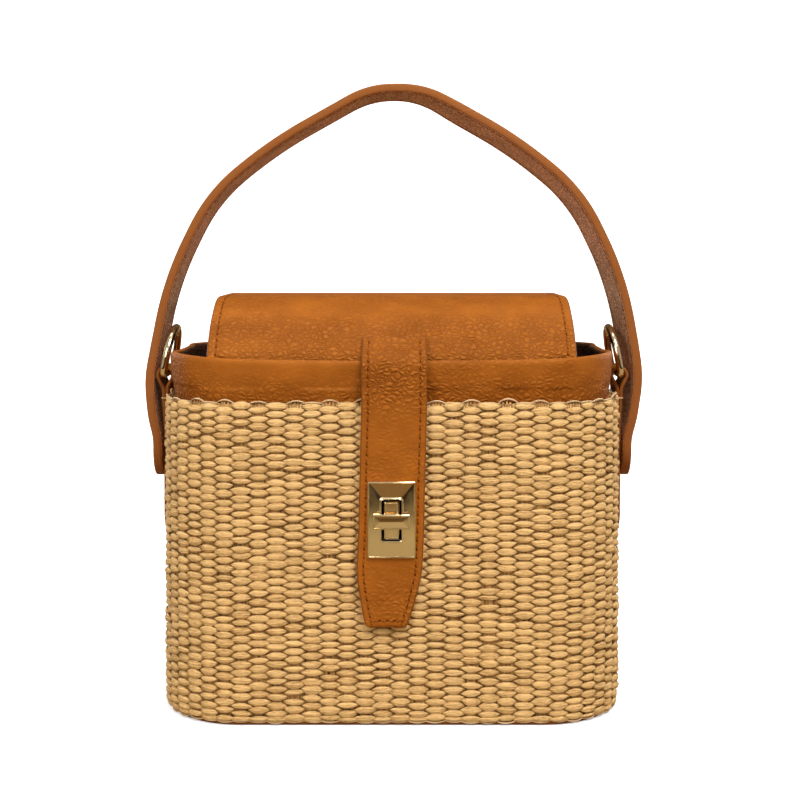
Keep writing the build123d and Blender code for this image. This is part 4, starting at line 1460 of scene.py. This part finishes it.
def floor_finish():
    """Pale floor: white in view, and a warm table with a far edge where it is mirrored."""
    made = Finish("pale_floor", Roughness=0.9, Specular_IOR_Level=0.0, Emission_Color=WHITE)
    seen = made.node("ShaderNodeLightPath").outputs["Is Camera Ray"]
    axes = made.node("ShaderNodeSeparateXYZ", {"Vector": made.object_place()})
    far = made.spread(axes.outputs["Y"], -0.5, -0.42, 1.0, 0.0)
    aside = made.spread(made.math("ABSOLUTE", axes.outputs["X"]), 0.08, 0.1)
    beyond = made.mix(aside, (0.13, 0.075, 0.03, 1.0), (0.015, 0.01, 0.006, 1.0))
    table = made.mix(far, (0.33, 0.26, 0.15, 1.0), beyond)
    reach = made.node("ShaderNodeVectorMath", {0: made.object_place()}, operation="LENGTH")
    glow = made.spread(reach.outputs["Value"], 0.25, 1.3, 0.5, 1.2)
    made.link(made.math("MULTIPLY", seen, glow), made.shader.inputs["Emission Strength"])
    return made.finish(made.mix(seen, table, (0.9, 0.9, 0.9, 1.0)))


def make_world():
    """Surroundings: white in view, and for light a bright dome over a warm dim front with dark posts."""
    world = bpy.data.worlds.new("studio")
    world.use_nodes = True
    sky = Nodes(world.node_tree)
    seen = sky.node("ShaderNodeLightPath").outputs["Is Camera Ray"]
    way = sky.node("ShaderNodeTexCoord").outputs["Generated"]
    axes = sky.node("ShaderNodeSeparateXYZ", {"Vector": way})
    front = sky.spread(axes.outputs["Y"], -0.85, -0.45, 1.0, 0.0)
    low = sky.spread(axes.outputs["Z"], 0.16, 0.4, 1.0, 0.0)
    band = sky.math("MULTIPLY", front, low)
    aside = sky.math("ABSOLUTE", axes.outputs["X"])
    post = sky.math("MULTIPLY", sky.spread(aside, 0.08, 0.13), sky.spread(aside, 0.3, 0.36, 1.0, 0.0))
    warm = sky.mix(post, (0.62, 0.36, 0.14, 1.0), (0.02, 0.015, 0.012, 1.0))
    colour = sky.mix(band, WHITE, warm)
    colour = sky.mix(seen, colour, (2.6, 2.6, 2.6, 1.0))
    ground = world.node_tree.nodes["Background"]
    sky.link(colour, ground.inputs["Color"])
    ground.inputs["Strength"].default_value = 0.45
    bpy.context.scene.world = world


def make_floor():
    """A pale floor that bends up behind in a quarter circle."""
    bend = np.linspace(0, math.pi / 2, 12)
    y = np.concatenate([[-FLOOR_HALF], FLOOR_BACK + FLOOR_BEND * np.sin(bend), [FLOOR_BACK + FLOOR_BEND]])
    z = np.concatenate([[0.0], FLOOR_BEND - FLOOR_BEND * np.cos(bend), [FLOOR_TOP]])
    x = np.array([-FLOOR_HALF, FLOOR_HALF])
    points = np.stack(np.broadcast_arrays(x[None, :], y[:, None], z[:, None]), -1)
    floor = make_piece("floor", points, grid_faces(len(y), 2)[:, ::-1], floor_finish())


def make_lights():
    """Soft square lights, each turned towards the bag."""
    for name, place, size, power in LIGHTS:
        lamp = bpy.data.lights.new(name, "AREA")
        lamp.size = size
        lamp.energy = power
        lit = add_object(name, lamp)
        lit.location = place
        way = Vector(LIGHT_AIM - np.array(place))
        lit.rotation_euler = way.to_track_quat("-Z", "Y").to_euler()


def make_camera():
    """The camera in front of the bag, a little above its collar."""
    camera = bpy.data.cameras.new("camera")
    camera.lens = CAMERA_LENS
    camera.sensor_width = CAMERA_SENSOR
    camera.shift_y = CAMERA_SHIFT
    stand = add_object("camera", camera)
    stand.location = CAMERA_PLACE
    stand.rotation_euler = (CAMERA_TURN, 0, 0)
    bpy.context.scene.camera = stand
    bpy.context.scene.view_settings.view_transform = "Standard"


make_weave()
make_collar()
make_base()
make_lining()
make_flap()
make_closing_strap()
make_handle()
make_side_tabs()
make_rings()
make_lock_plate()
make_lock_boss()
make_turn_bar()
dress_solids()
make_floor()
make_world()
make_lights()
make_camera()
